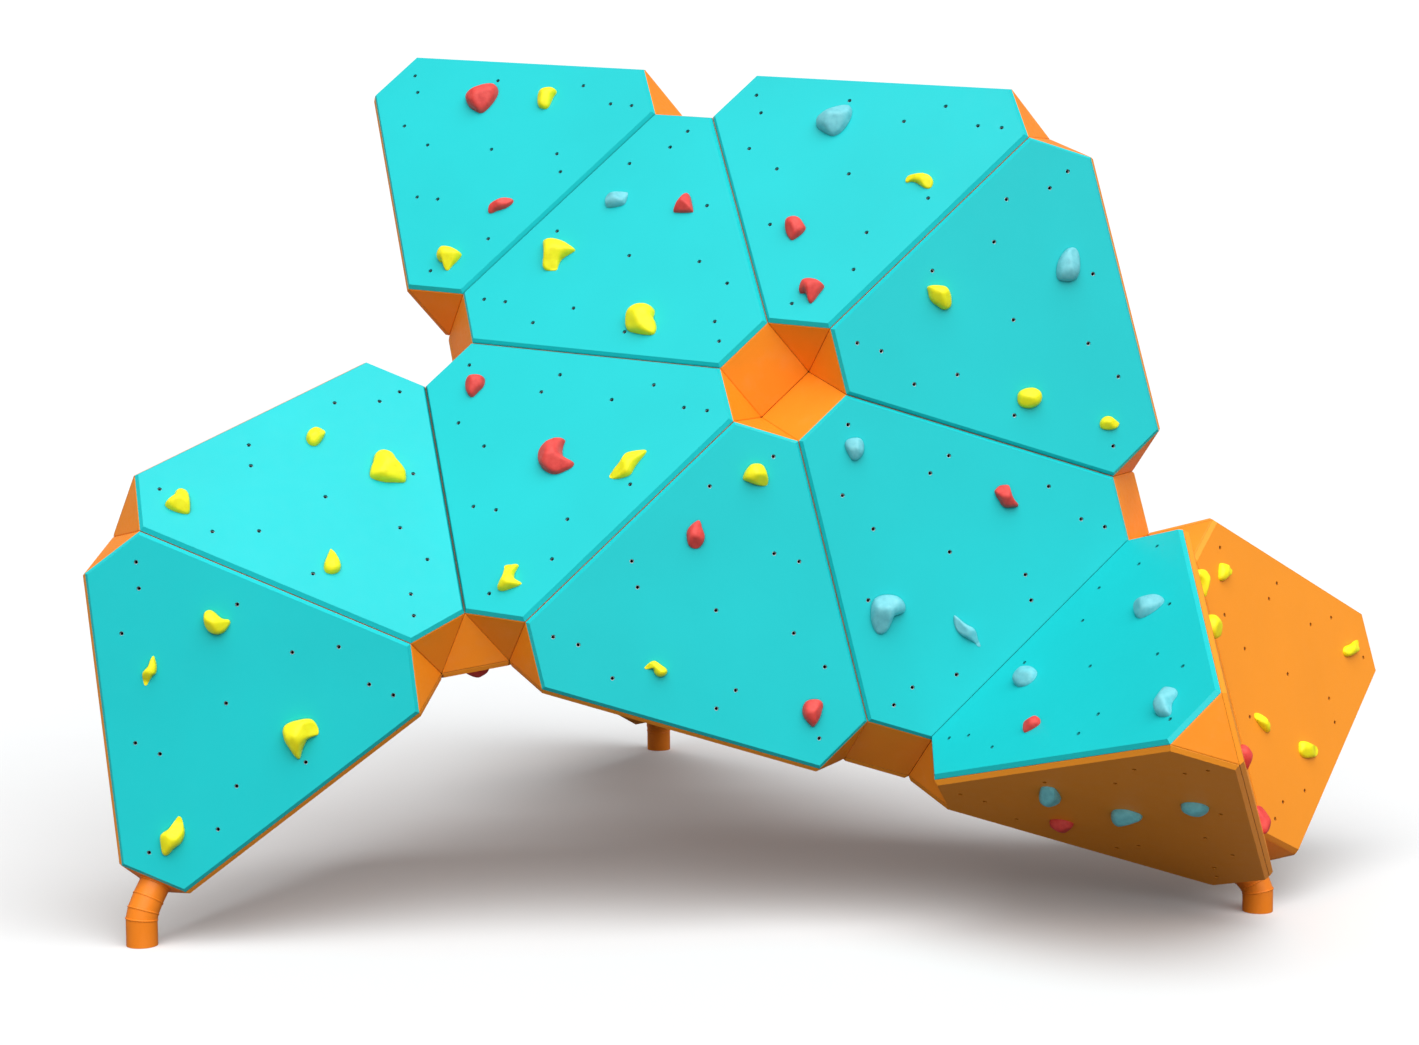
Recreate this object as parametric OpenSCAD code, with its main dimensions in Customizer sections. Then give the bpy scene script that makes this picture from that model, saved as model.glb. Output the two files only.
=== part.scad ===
// Free-standing play climbing structure. Seventeen steel cells, fifteen
// tetrahedra and two octahedra of one edge length with every corner cut off,
// are bolted face to face. Every open face carries a bevelled climbing panel
// with one standard hole pattern, and three mitred tube feet hold it up.
// Millimetres, +Z up. The origin is the centre of the left foot's base, on the
// ground; +X runs to the right foot and +Y to the rear foot's side.

/* [Cells] */
// Edge length of a cell before its corners are cut
edge = 1400; // [1300:10:1500]
// Share of an edge taken off by each cut corner
cut = 0.16; // [0.15:0.005:0.17]
// Height of the lowest lattice corners above the ground
corner_clear = 42; // [38:1:50]

/* [Steel frames] */
// Thickness of the frame plates
plate_t = 5; // [4:1:6]
// Width of the flange ring behind every face
flange_w = 60; // [50:1:70]
// Radius of the holes for the bolts that join two cells
join_r = 5.5; // [5:0.5:6.5]
// Radius of the clearance holes for the panel screws
screw_clear_r = 4.5; // [4.2:0.1:5]

/* [Climbing panels] */
// Thickness of a climbing panel
panel_t = 15; // [14:1:18]
// Gap from the panel's back edge to the lattice edge
panel_gap = 1.5; // [1.5:0.1:2.5]
// Upright land below the bevelled edge
panel_land = 1.5; // [1:0.1:2]
// How far the bevel leans in for each millimetre of height
bevel_lean = 0.75; // [0.74:0.01:1]
// Radius of the hold fixing holes
hole_r = 7.2; // [6:0.1:7.5]
// Depth of the blind screw holes in the back of a panel
insert_depth = 11; // [10:1:12]

/* [Hold pattern] */
// Spacing of the triangular hold grid, as a share of the cell edge
grid_step = 0.192; // [0.18:0.002:0.2]

/* [Feet] */
// Outer diameter of the foot tube
tube_d = 101.6; // [88.9:0.1:108]
// Wall of the foot tube
tube_wall = 4; // [3:0.5:5]
// Length of the first, second and third mitred tube pieces
elbow_l = [52, 42, 28]; // [20:1:80]
// Share of the full lean that those pieces keep; the last piece is upright
elbow_lean = [1, 0.85, 0.45]; // [0:0.05:1]
// Half of the weld gap between two tube pieces
root_gap = 0.2; // [0.1:0.1:0.5]
// Thickness of the round end plates
end_t = 12; // [10:1:15]
// Circle of the three bolt holes in an end plate
end_pcd = 56; // [50:1:60]
// Radius of the bolt holes in an end plate
end_hole_r = 6.5; // [6.5:0.1:7]

/* [Fasteners] */
// Outer radius of a T-nut's flange
tnut_flange_r = 12.5; // [11:0.5:13]
// Radius of the hold bolt's shank
bolt_r = 5; // [5:0.5:5]

/* [Hidden] */
$fn = 48;
tube_fn = 96;
teal = "#2fd6da";
orange = "#ff9a2e";
steel_orange = "#f58a22";
over = 1;           // how far a cutter runs past the surface it cuts
thread_gap = 0.05;  // radial gap between a thread and its nut or hole
tube_bore = tube_d - 2 * tube_wall;

// ---- lattice corners, in cell edges -----------------------------------------
function unit(v) = v / norm(v);
// Centre of a face, from its first three corners.
function face_mid(face) = (face[0] + face[1] + face[2]) / 3;
// The far corner of the tetrahedron on the other side of a face.
function across(face, corner) = 2 * face_mid(face) - corner;
tetra_h = sqrt(2 / 3);

hub = [0, 0, 0];
top_right = [1, 0, 0];
top_mid = [0.5, sqrt(3) / 2, 0];
upper_left = top_mid - top_right;
low_left = -top_right;
top_left = top_mid + upper_left;
back_right = face_mid([hub, top_right, top_mid]) - [0, 0, tetra_h];
back_mid = back_right - top_right;
mid_right = across([hub, top_right, back_right], top_mid);
low_mid = across([hub, low_left, back_mid], upper_left);
back_high = top_mid + back_mid;
back_low = mid_right + back_mid;
back_left = across([upper_left, low_left, back_mid], hub);
far_left = across([upper_left, low_left, back_left], back_mid);
foot_left = across([far_left, low_left, back_left], upper_left);
foot_right = low_mid + mid_right;
front_tip = across([low_mid, mid_right, foot_right], back_low);
right_tip = across([mid_right, back_low, foot_right], low_mid);
leg_right = back_right + back_mid;
leg_left = across([back_high, back_mid, leg_right], back_right);
leg_back = across([back_high, leg_right, leg_left], back_mid);
foot_rear = across([leg_right, leg_left, leg_back], back_high);

// The ground is parallel to the plane through the three lowest corners.
z_dir = unit(cross(foot_right - foot_left, foot_rear - foot_left));
x_dir = unit(foot_right - foot_left);
y_dir = cross(z_dir, x_dir);
function level(corner) =
  let (p = corner - foot_left) edge * [p * x_dir, p * y_dir, p * z_dir];

// ---- planes: [origin, x direction, outward normal] ----------------------------
// A face is three corners and a fourth point on the side of the cell behind it.
function outward(face) =
  let (n = cross(face[1] - face[0], face[2] - face[0]))
  unit(n * (face[3] - face_mid(face)) > 0 ? -n : n);
function face_x(face) = unit(face[0] - face_mid(face));
function face_plane(face) = [face_mid(face), face_x(face), outward(face)];
function others(cell, i) = [for (j = [0:3]) if (j != i) cell[j]];
// The cut at a corner, square to the line from base, with x towards side.
function cap_plane(corner, base, side) =
  let (origin = corner + cut * (base - corner))
  [origin, unit(corner + cut * (side - corner) - origin), unit(corner - base)];
function tetra_cap(cell, i) =
  let (base = others(cell, i)) cap_plane(cell[i], face_mid(base), base[0]);
module place(plane) {
  c = plane[0];
  x = plane[1];
  z = plane[2];
  y = cross(z, x);
  multmatrix([[x.x, y.x, z.x, c.x], [x.y, y.y, z.y, c.y], [x.z, y.z, z.z, c.z],
              [0, 0, 0, 1]]) children();
}
module on_face(face) place(face_plane(face)) children();
module at(points) for (p = points) translate([p.x, p.y, 0]) children();
// A hole cutter that runs past both ends.
module drill(r, top, bottom = 0)
  translate([0, 0, bottom - over]) cylinder(r = r, h = top - bottom + 2 * over);

// ---- foot lines and the place of the lattice in the world ----------------------
down = [0, 0, -1];
function lean_dir(axis, share) =
  let (full = acos(axis * down), flat = unit([axis.x, axis.y, 0]))
  flat * sin(full * share) + down * cos(full * share);
// Foot centre line: [start, first bend, second bend, third bend, ground].
function foot_line(start, axis) =
  let (bend_1 = start + elbow_l[0] * lean_dir(axis, elbow_lean[0]),
       bend_2 = bend_1 + elbow_l[1] * lean_dir(axis, elbow_lean[1]),
       bend_3 = bend_2 + elbow_l[2] * lean_dir(axis, elbow_lean[2]))
  [start, bend_1, bend_2, bend_3, [bend_3.x, bend_3.y, 0]];
// The left, right and rear cells that stand on feet, each foot corner last.
foot_cells = [
  [far_left, low_left, back_left, foot_left],
  [low_mid, mid_right, back_low, foot_right],
  [leg_right, leg_left, leg_back, foot_rear]];
level_cap = tetra_cap([for (p = foot_cells[0]) level(p)], 3);
level_line = foot_line(level_cap[0] + [0, 0, corner_clear], level_cap[2]);
shift = [-level_line[4].x, -level_line[4].y, corner_clear];
function world(corners) = [for (p = corners) level(p) + shift];
function world_faces(faces) = [for (face = faces) world(face)];
foot_caps = [for (cell = foot_cells) tetra_cap(world(cell), 3)];
foot_lines = [for (cap = foot_caps) foot_line(cap[0], cap[2])];

// ---- faces --------------------------------------------------------------------
// Faces shared by two cells; the fourth corner belongs to the bolt heads' cell.
shared = world_faces([
  [top_mid, upper_left, back_high, top_left],
  [hub, top_mid, back_right, top_right],
  [hub, top_right, back_right, top_mid],
  [hub, mid_right, back_right, top_right],
  [hub, low_mid, back_mid, low_left],
  [hub, low_left, back_mid, low_mid],
  [hub, upper_left, back_mid, low_left],
  [upper_left, low_left, back_mid, hub],
  [upper_left, low_left, back_left, back_mid],
  [far_left, low_left, back_left, upper_left],
  [low_mid, mid_right, back_low, foot_right],
  [low_mid, mid_right, foot_right, back_low],
  [mid_right, back_low, foot_right, low_mid],
  [hub, back_right, back_mid, top_mid],
  [back_right, back_mid, back_high, leg_right],
  [back_high, back_mid, leg_right, back_right],
  [back_high, leg_right, leg_left, back_mid],
  [leg_right, leg_left, leg_back, back_high]]);

// Open front faces.
face_top_left = world([top_left, top_mid, upper_left, back_high]);
face_upper_centre = world([top_mid, upper_left, hub, back_high]);
face_top_right = world([top_mid, top_right, hub, back_right]);
face_right = world([top_right, mid_right, hub, back_right]);
face_centre_right = world([hub, mid_right, low_mid, back_right]);
face_centre_low = world([hub, low_mid, low_left, back_mid]);
face_centre_left = world([hub, low_left, upper_left, back_mid]);
face_left = world([upper_left, low_left, far_left, back_left]);
face_left_low = world([far_left, low_left, foot_left, back_left]);
face_right_low = world([low_mid, mid_right, front_tip, foot_right]);
face_underside = world([low_mid, front_tip, foot_right, mid_right]);
face_side_right = world([mid_right, right_tip, foot_right, back_low]);
face_side_edge = world([mid_right, front_tip, foot_right, low_mid]);
front = [face_top_left, face_upper_centre, face_top_right, face_right, face_centre_right,
  face_centre_low, face_centre_left, face_left, face_left_low, face_right_low,
  face_underside, face_side_right, face_side_edge];

// Open rear and leg faces, by node.
rear_top_left = world_faces([
  [top_mid, top_left, back_high, upper_left], [upper_left, top_left, back_high, top_mid]]);
rear_upper_centre = world_faces([
  [top_mid, back_right, back_high, hub], [upper_left, back_mid, back_high, hub]]);
rear_top_right = world_faces([[top_right, top_mid, back_right, hub]]);
rear_right = world_faces([[top_right, mid_right, back_right, hub]]);
rear_lower_centre = world_faces([
  [mid_right, back_right, back_low, hub], [low_mid, back_mid, back_low, hub],
  [back_right, back_mid, back_low, hub]]);
rear_centre_low = world_faces([[low_mid, low_left, back_mid, hub]]);
rear_left_inner = world_faces([
  [upper_left, back_mid, back_left, low_left], [low_left, back_mid, back_left, upper_left]]);
rear_left = world_faces([[upper_left, back_left, far_left, low_left]]);
rear_left_low = world_faces([
  [far_left, back_left, foot_left, low_left], [low_left, back_left, foot_left, far_left]]);
rear_right_low = world_faces([[low_mid, back_low, foot_right, mid_right]]);
rear_side_right = world_faces([
  [mid_right, back_low, right_tip, foot_right], [back_low, foot_right, right_tip, mid_right]]);
leg_1 = world_faces([
  [back_right, back_mid, leg_right, back_high], [back_high, back_right, leg_right, back_mid]]);
leg_2 = world_faces([
  [back_high, back_mid, leg_left, leg_right], [back_mid, leg_right, leg_left, back_high]]);
leg_3 = world_faces([
  [back_high, leg_right, leg_back, leg_left], [back_high, leg_left, leg_back, leg_right]]);
leg_4 = world_faces([
  [leg_right, leg_left, foot_rear, leg_back], [leg_right, leg_back, foot_rear, leg_left],
  [leg_left, leg_back, foot_rear, leg_right]]);
rear = concat(rear_top_left, rear_upper_centre, rear_top_right, rear_right,
  rear_lower_centre, rear_centre_low, rear_left_inner, rear_left, rear_left_low,
  rear_right_low, rear_side_right, leg_1, leg_2, leg_3, leg_4);
open_faces = concat(front, rear);

// ---- the cut triangle every face shares -----------------------------------------
to_cap = edge / sqrt(3) * (1 - 1.5 * cut); // face centre to a cut corner's line
to_edge = edge / (2 * sqrt(3));            // face centre to a cell edge's line
function side_dist(k) = k % 2 == 0 ? to_cap : to_edge;
// Outline with all six sides moved in by inset.
function cut_triangle(inset) = [for (k = [0:5])
  let (a = 60 * k, b = a + 60, p = side_dist(k) - inset, q = side_dist(k + 1) - inset)
  [p * sin(b) - q * sin(a), q * cos(a) - p * cos(b)] / sin(60)];

function polar(r, a) = [r * cos(a), r * sin(a)];
thirds = [0, 120, 240];
// Hold grid: centre, three outer points, six inner points.
step = grid_step * edge;
grid = concat([[0, 0]], [for (a = thirds) polar(step * sqrt(3), a)],
  [for (a = [30:60:330]) polar(step, a)]);
// Nine more holes on three circles: [radius as a share of the edge, first angle].
extra_circles = [[0.386, -4.7], [0.2285, -43.8], [0.29, 19]];
hold_holes = concat(grid,
  [for (circle = extra_circles, a = thirds) polar(circle[0] * edge, circle[1] + a)]);
// Two fixings beside each long edge, on the middle of the flange.
fixing_offset = 0.22 * edge;
fixings = [for (a = [60, 180, 300], side = [-1, 1])
  (to_edge - flange_w / 2) * [cos(a), sin(a)] + side * fixing_offset * [-sin(a), cos(a)]];
end_bolt_points = [for (a = thirds) polar(end_pcd / 2, a)];

// ---- panels -----------------------------------------------------------------------
bevel_block = 60; // size of the block that cuts a bevel
bevel_drop = 5;   // how far that block starts below the land

module panel() difference() {
  linear_extrude(panel_t) polygon(cut_triangle(panel_gap));
  for (k = [0:5])
    rotate([0, 0, 60 * k])
      translate([side_dist(k) - panel_gap, 0, panel_land])
        rotate([0, -atan(bevel_lean), 0])
          translate([0, -edge / 2, -bevel_drop]) cube([bevel_block, edge, bevel_block]);
  at(hold_holes) drill(hole_r, panel_t);
  at(fixings) translate([0, 0, -over])
    cylinder(r = screw_r + thread_gap, h = insert_depth + over);
}
module panels(faces, colour) color(colour) for (face = faces) on_face(face) panel();

// ---- steel frames -------------------------------------------------------------------
// Everything more than inset behind a plane stays; this is the rest.
module beyond(plane, inset) place(plane)
  translate([-2 * edge, -2 * edge, -inset]) cube([4 * edge, 4 * edge, 2 * edge]);
module window() translate([0, 0, -plate_t - over])
  linear_extrude(plate_t + 2 * over) polygon(cut_triangle(flange_w));
// Two faces are the same if their centres lie within a millimetre.
function is_shared(face) =
  len([for (s = shared) if (norm(face_mid(s) - face_mid(face)) < 1) 1]) > 0;
// A cell with cut corners, every plane moved in by inset.
module cell_body(middle, planes, inset) difference() {
  translate(middle - [edge, edge, edge]) cube(2 * edge);
  for (plane = planes) beyond(plane, inset);
}
module cell_frame(middle, faces, caps, foot = -1) color(steel_orange) difference() {
  planes = concat([for (face = faces) face_plane(face)], caps);
  cell_body(middle, planes, 0);
  cell_body(middle, planes, plate_t);
  for (face = faces) on_face(face) {
    window();
    at(fixings) drill(is_shared(face) ? join_r : screw_clear_r, 0, -plate_t);
  }
  if (foot >= 0) place(caps[foot]) at(end_bolt_points) drill(end_hole_r, 0, -plate_t);
}
// Four lattice corners; foot is the index of a corner that stands on a foot.
module tetra_frame(corners, foot = -1) {
  cell = world(corners);
  cell_frame((cell[0] + cell[1] + cell[2] + cell[3]) / 4,
    [for (i = [0:3]) concat(others(cell, i), [cell[i]])],
    [for (i = [0:3]) tetra_cap(cell, i)], foot);
}
// Six lattice corners, opposite pairs in order.
module octa_frame(corners) {
  cell = world(corners);
  middle = (cell[0] + cell[1]) / 2;
  cell_frame(middle,
    [for (i = [0, 1], j = [2, 3], k = [4, 5]) [cell[i], cell[j], cell[k], middle]],
    [for (i = [0:5]) cap_plane(cell[i], middle, cell[i < 2 ? 2 : 0])]);
}

// ---- feet -----------------------------------------------------------------------------
mitre_block = 300; // depth and half width of the block that cuts a mitre
tube_spare = 40;   // extra tube at each end before the mitre cuts
tube_turn = 37;    // turn of the tube's facets about its line

module aim(point, dir)
  translate(point) rotate([0, acos(unit(dir).z), atan2(dir.y, dir.x)]) children();
module half_space(point, normal) aim(point, normal)
  translate([-mitre_block, -mitre_block, 0])
    cube([2 * mitre_block, 2 * mitre_block, mitre_block]);
// A tube between two points, cut at each end square to the given normal.
module tube_piece(start, end, start_normal, end_normal, start_gap, end_gap) {
  blank_l = norm(end - start) + 2 * tube_spare;
  difference() {
    aim(start, end - start) rotate([0, 0, tube_turn]) translate([0, 0, -tube_spare])
      difference() {
        cylinder(d = tube_d, h = blank_l, $fn = tube_fn);
        translate([0, 0, -over])
          cylinder(d = tube_bore, h = blank_l + 2 * over, $fn = tube_fn);
      }
    half_space(start + start_gap * start_normal, -start_normal);
    half_space(end - end_gap * end_normal, end_normal);
  }
}
module mitred_tube(line) color(steel_orange) for (i = [0:3]) {
  dir = unit(line[i + 1] - line[i]);
  before = i == 0 ? dir : unit(dir + unit(line[i] - line[i - 1]));
  after = i == 3 ? dir : unit(dir + unit(line[i + 2] - line[i + 1]));
  tube_piece(line[i], line[i + 1], before, after,
    i == 0 ? 0 : root_gap, i == 3 ? 0 : root_gap);
}
module end_plate() difference() {
  cylinder(d = tube_bore, h = end_t, $fn = tube_fn);
  at(end_bolt_points) drill(end_hole_r, end_t);
}
module foot_end_plates() color("silver") {
  for (cap = foot_caps) place(cap) end_plate();
  for (line = foot_lines) translate(line[4]) end_plate();
}

// ---- fasteners --------------------------------------------------------------------------
// Bolts of the feet and of the joints between cells
foot_bolt_r = 6;
foot_hex_r = 10.5;
foot_head_h = 7.5;
foot_bolt_tail = 12; // shank beyond the end plate
foot_nut_h = 10;
frame_bolt_r = 5;
frame_hex_r = 8.8;
frame_head_h = 6.4;
frame_bolt_tail = 10; // shank beyond the second plate
frame_nut_h = 8;
// Panel screws
screw_r = 4;
screw_head_r = 7;
screw_head_top_r = 5;
screw_head_h = 4.4;
screw_head_side_h = 3; // straight part of the head, next to the plate
screw_tip_gap = 1;
// T-nuts
tnut_flange_h = 1.8;
tnut_barrel_gap = 0.2;
tnut_barrel_h = 9;

// A bolt whose head lies against the inside of a frame plate.
module hex_bolt(r, length, head_r, head_h) translate([0, 0, -plate_t]) {
  cylinder(r = r, h = length);
  translate([0, 0, -head_h]) cylinder(r = head_r, h = head_h, $fn = 6);
}
module hex_nut(r, hex_r, height) difference() {
  cylinder(r = hex_r, h = height, $fn = 6);
  drill(r + thread_gap, height);
}
module foot_bolts() color("silver") for (cap = foot_caps)
  place(cap) at(end_bolt_points)
    hex_bolt(foot_bolt_r, plate_t + end_t + foot_bolt_tail, foot_hex_r, foot_head_h);
module foot_nuts() color("silver") for (cap = foot_caps)
  place(cap) at(end_bolt_points)
    translate([0, 0, end_t]) hex_nut(foot_bolt_r, foot_hex_r, foot_nut_h);
module frame_bolts() color("silver") for (face = shared)
  on_face(face) at(fixings)
    hex_bolt(frame_bolt_r, 2 * plate_t + frame_bolt_tail, frame_hex_r, frame_head_h);
module frame_nuts() color("silver") for (face = shared)
  on_face(face) at(fixings)
    translate([0, 0, plate_t]) hex_nut(frame_bolt_r, frame_hex_r, frame_nut_h);
module panel_screws() color("silver") for (face = open_faces)
  on_face(face) at(fixings) rotate_extrude() polygon([
    [0, -plate_t - screw_head_h], [screw_head_top_r, -plate_t - screw_head_h],
    [screw_head_r, -plate_t - screw_head_side_h], [screw_head_r, -plate_t],
    [screw_r, -plate_t], [screw_r, insert_depth - screw_tip_gap],
    [0, insert_depth - screw_tip_gap]]);
module t_nuts() color("silver") for (face = open_faces)
  on_face(face) at(hold_holes) rotate_extrude() polygon([
    [bolt_r + thread_gap, -tnut_flange_h], [tnut_flange_r, 0],
    [hole_r - tnut_barrel_gap, 0], [hole_r - tnut_barrel_gap, tnut_barrel_h],
    [bolt_r + thread_gap, tnut_barrel_h]]);

// ---- hold tables --------------------------------------------------------------------------
yellow = 0;
red = 1;
blue = 2;
// Outlines in shares of the hold's size, seen from the front, bolt at [0, 0].
shapes = [
  /* 0 wedge */ [[-.5, -.06], [-.36, .14], [.08, .38], [.32, .42], [.47, .26], [.4, -.04],
    [.2, -.32], [-.02, -.42], [-.28, -.3]],
  /* 1 crescent */ [[-.3, -.42], [-.36, .05], [-.12, .38], [.28, .46], [.4, .36],
    [.24, .12], [.16, -.14], [.05, -.44]],
  /* 2 edge */ [[-.5, -.26], [-.32, .04], [0, .17], [.25, .26], [.5, .28], [.36, .04],
    [.12, -.12], [-.15, -.17], [-.4, -.34]],
  /* 3 fang */ [[-.46, -.08], [-.2, .38], [.1, .46], [.46, .2], [.3, -.12], [.05, -.5],
    [-.14, -.3], [-.2, -.02], [-.36, -.02]],
  /* 4 tooth */ [[-.42, .45], [.1, .48], [.5, .15], [.18, -.08], [.06, -.44], [-.15, -.5],
    [-.4, -.45], [-.38, 0]],
  /* 5 kidney */ [[.35, .48], [0, .46], [-.32, .2], [-.5, -.2], [-.35, -.42], [0, -.48],
    [.4, -.48], [.5, -.28], [.34, -.04], [.42, .25]],
  /* 6 fin */ [[.2, .5], [.36, .42], [.42, -.4], [.3, -.48], [-.4, -.46], [-.48, -.36],
    [-.2, -.02], [.04, .32]],
  /* 7 slab */ [[-.45, .28], [.48, .36], [.38, -.12], [.25, -.32], [-.48, -.36], [-.45, 0]],
  /* 8 banana */ [[-.5, 0], [-.25, .32], [.2, .38], [.46, .2], [.5, -.1], [.36, -.36],
    [.1, -.24], [-.12, -.1], [-.35, -.04]],
  /* 9 knob */ [[-.35, .38], [.1, .48], [.45, .25], [.45, 0], [.05, -.48], [-.2, -.44],
    [-.45, 0]],
  /* 10 lozenge */ [[-.45, .4], [.1, .4], [.38, 0], [.45, -.43], [.2, -.45], [-.2, -.28],
    [-.42, .06]],
  /* 11 disc */ [[.5, 0], [.36, .3], [0, .42], [-.36, .3], [-.5, 0], [-.36, -.3],
    [0, -.42], [.36, -.3]],
  /* 12 drop */ [[.1, .5], [.2, .18], [.33, -.12], [.24, -.4], [-.03, -.5], [-.3, -.36],
    [-.34, -.1], [-.14, .22]],
  /* 13 block */ [[-.1, .45], [.15, .5], [.3, .35], [.3, -.4], [.1, -.5], [-.25, -.47],
    [-.35, -.3], [-.26, .05]],
  /* 14 horseshoe */ [[-.48, .08], [-.3, .42], [.08, .5], [.42, .26], [.48, 0], [.3, -.1],
    [.12, -.12], [.2, -.3], [0, -.5], [-.3, -.46], [-.48, -.2]],
  /* 15 hook */ [[.25, .48], [-.1, .38], [-.45, .1], [-.5, -.18], [-.25, -.46], [.1, -.48],
    [.48, -.32], [.42, -.18], [.18, -.08], [.14, .12], [.3, .38]],
  /* 16 blade */ [[-.5, -.42], [-.22, -.1], [-.06, .18], [.16, .32], [.5, .42], [.3, .12],
    [.18, -.14], [-.06, -.32], [-.4, -.44]],
  /* 17 bend */ [[-.44, .3], [-.1, .48], [.14, .32], [.2, .02], [.48, -.36], [.1, -.48],
    [-.2, -.3], [-.3, .04]],
  /* 18 shell */ [[-.48, -.32], [-.4, .1], [-.1, .43], [.3, .43], [.48, 0], [.48, -.33],
    [.3, -.46], [-.2, -.38]],
  /* 19 bone */ [[-.24, .48], [.32, .48], [.18, .14], [.22, -.14], [.46, -.34], [.2, -.46],
    [-.38, -.48], [-.46, -.38], [-.24, -.04], [-.22, .28]],
  /* 20 heart */ [[-.5, -.15], [-.22, .1], [-.1, .38], [.15, .48], [.4, .33], [.46, -.2],
    [.38, -.46], [0, -.38], [-.4, -.3]],
  /* 21 boot */ [[-.3, .43], [0, .47], [.22, .3], [.26, .14], [.48, -.15], [.48, -.4],
    [.1, -.46], [-.45, -.38], [-.45, -.1]],
  /* 22 leaf */ [[.48, .4], [.1, .42], [-.34, .24], [-.48, -.1], [-.25, -.42], [.12, -.34],
    [.35, 0]],
  /* 23 mitten */ [[-.45, .43], [-.22, .43], [.08, .18], [.42, .12], [.48, -.05],
    [.3, -.38], [-.1, -.48], [-.4, -.2]],
  /* 24 molar */ [[-.45, .23], [-.3, .4], [.2, .48], [.43, .3], [.48, .05], [.25, 0],
    [.14, -.22], [0, -.5], [-.16, -.42], [-.36, -.05]],
  /* 25 wisp */ [[.2, .5], [.3, .12], [.18, -.14], [-.08, -.5], [-.28, -.22], [-.2, .06],
    [-.02, .24]]];
// Rows of that table that the front holds name.
wedge = 0;
tooth = 4;
knob = 9;
disc = 11;
block = 13;
horseshoe = 14;
bend = 17;

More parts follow.
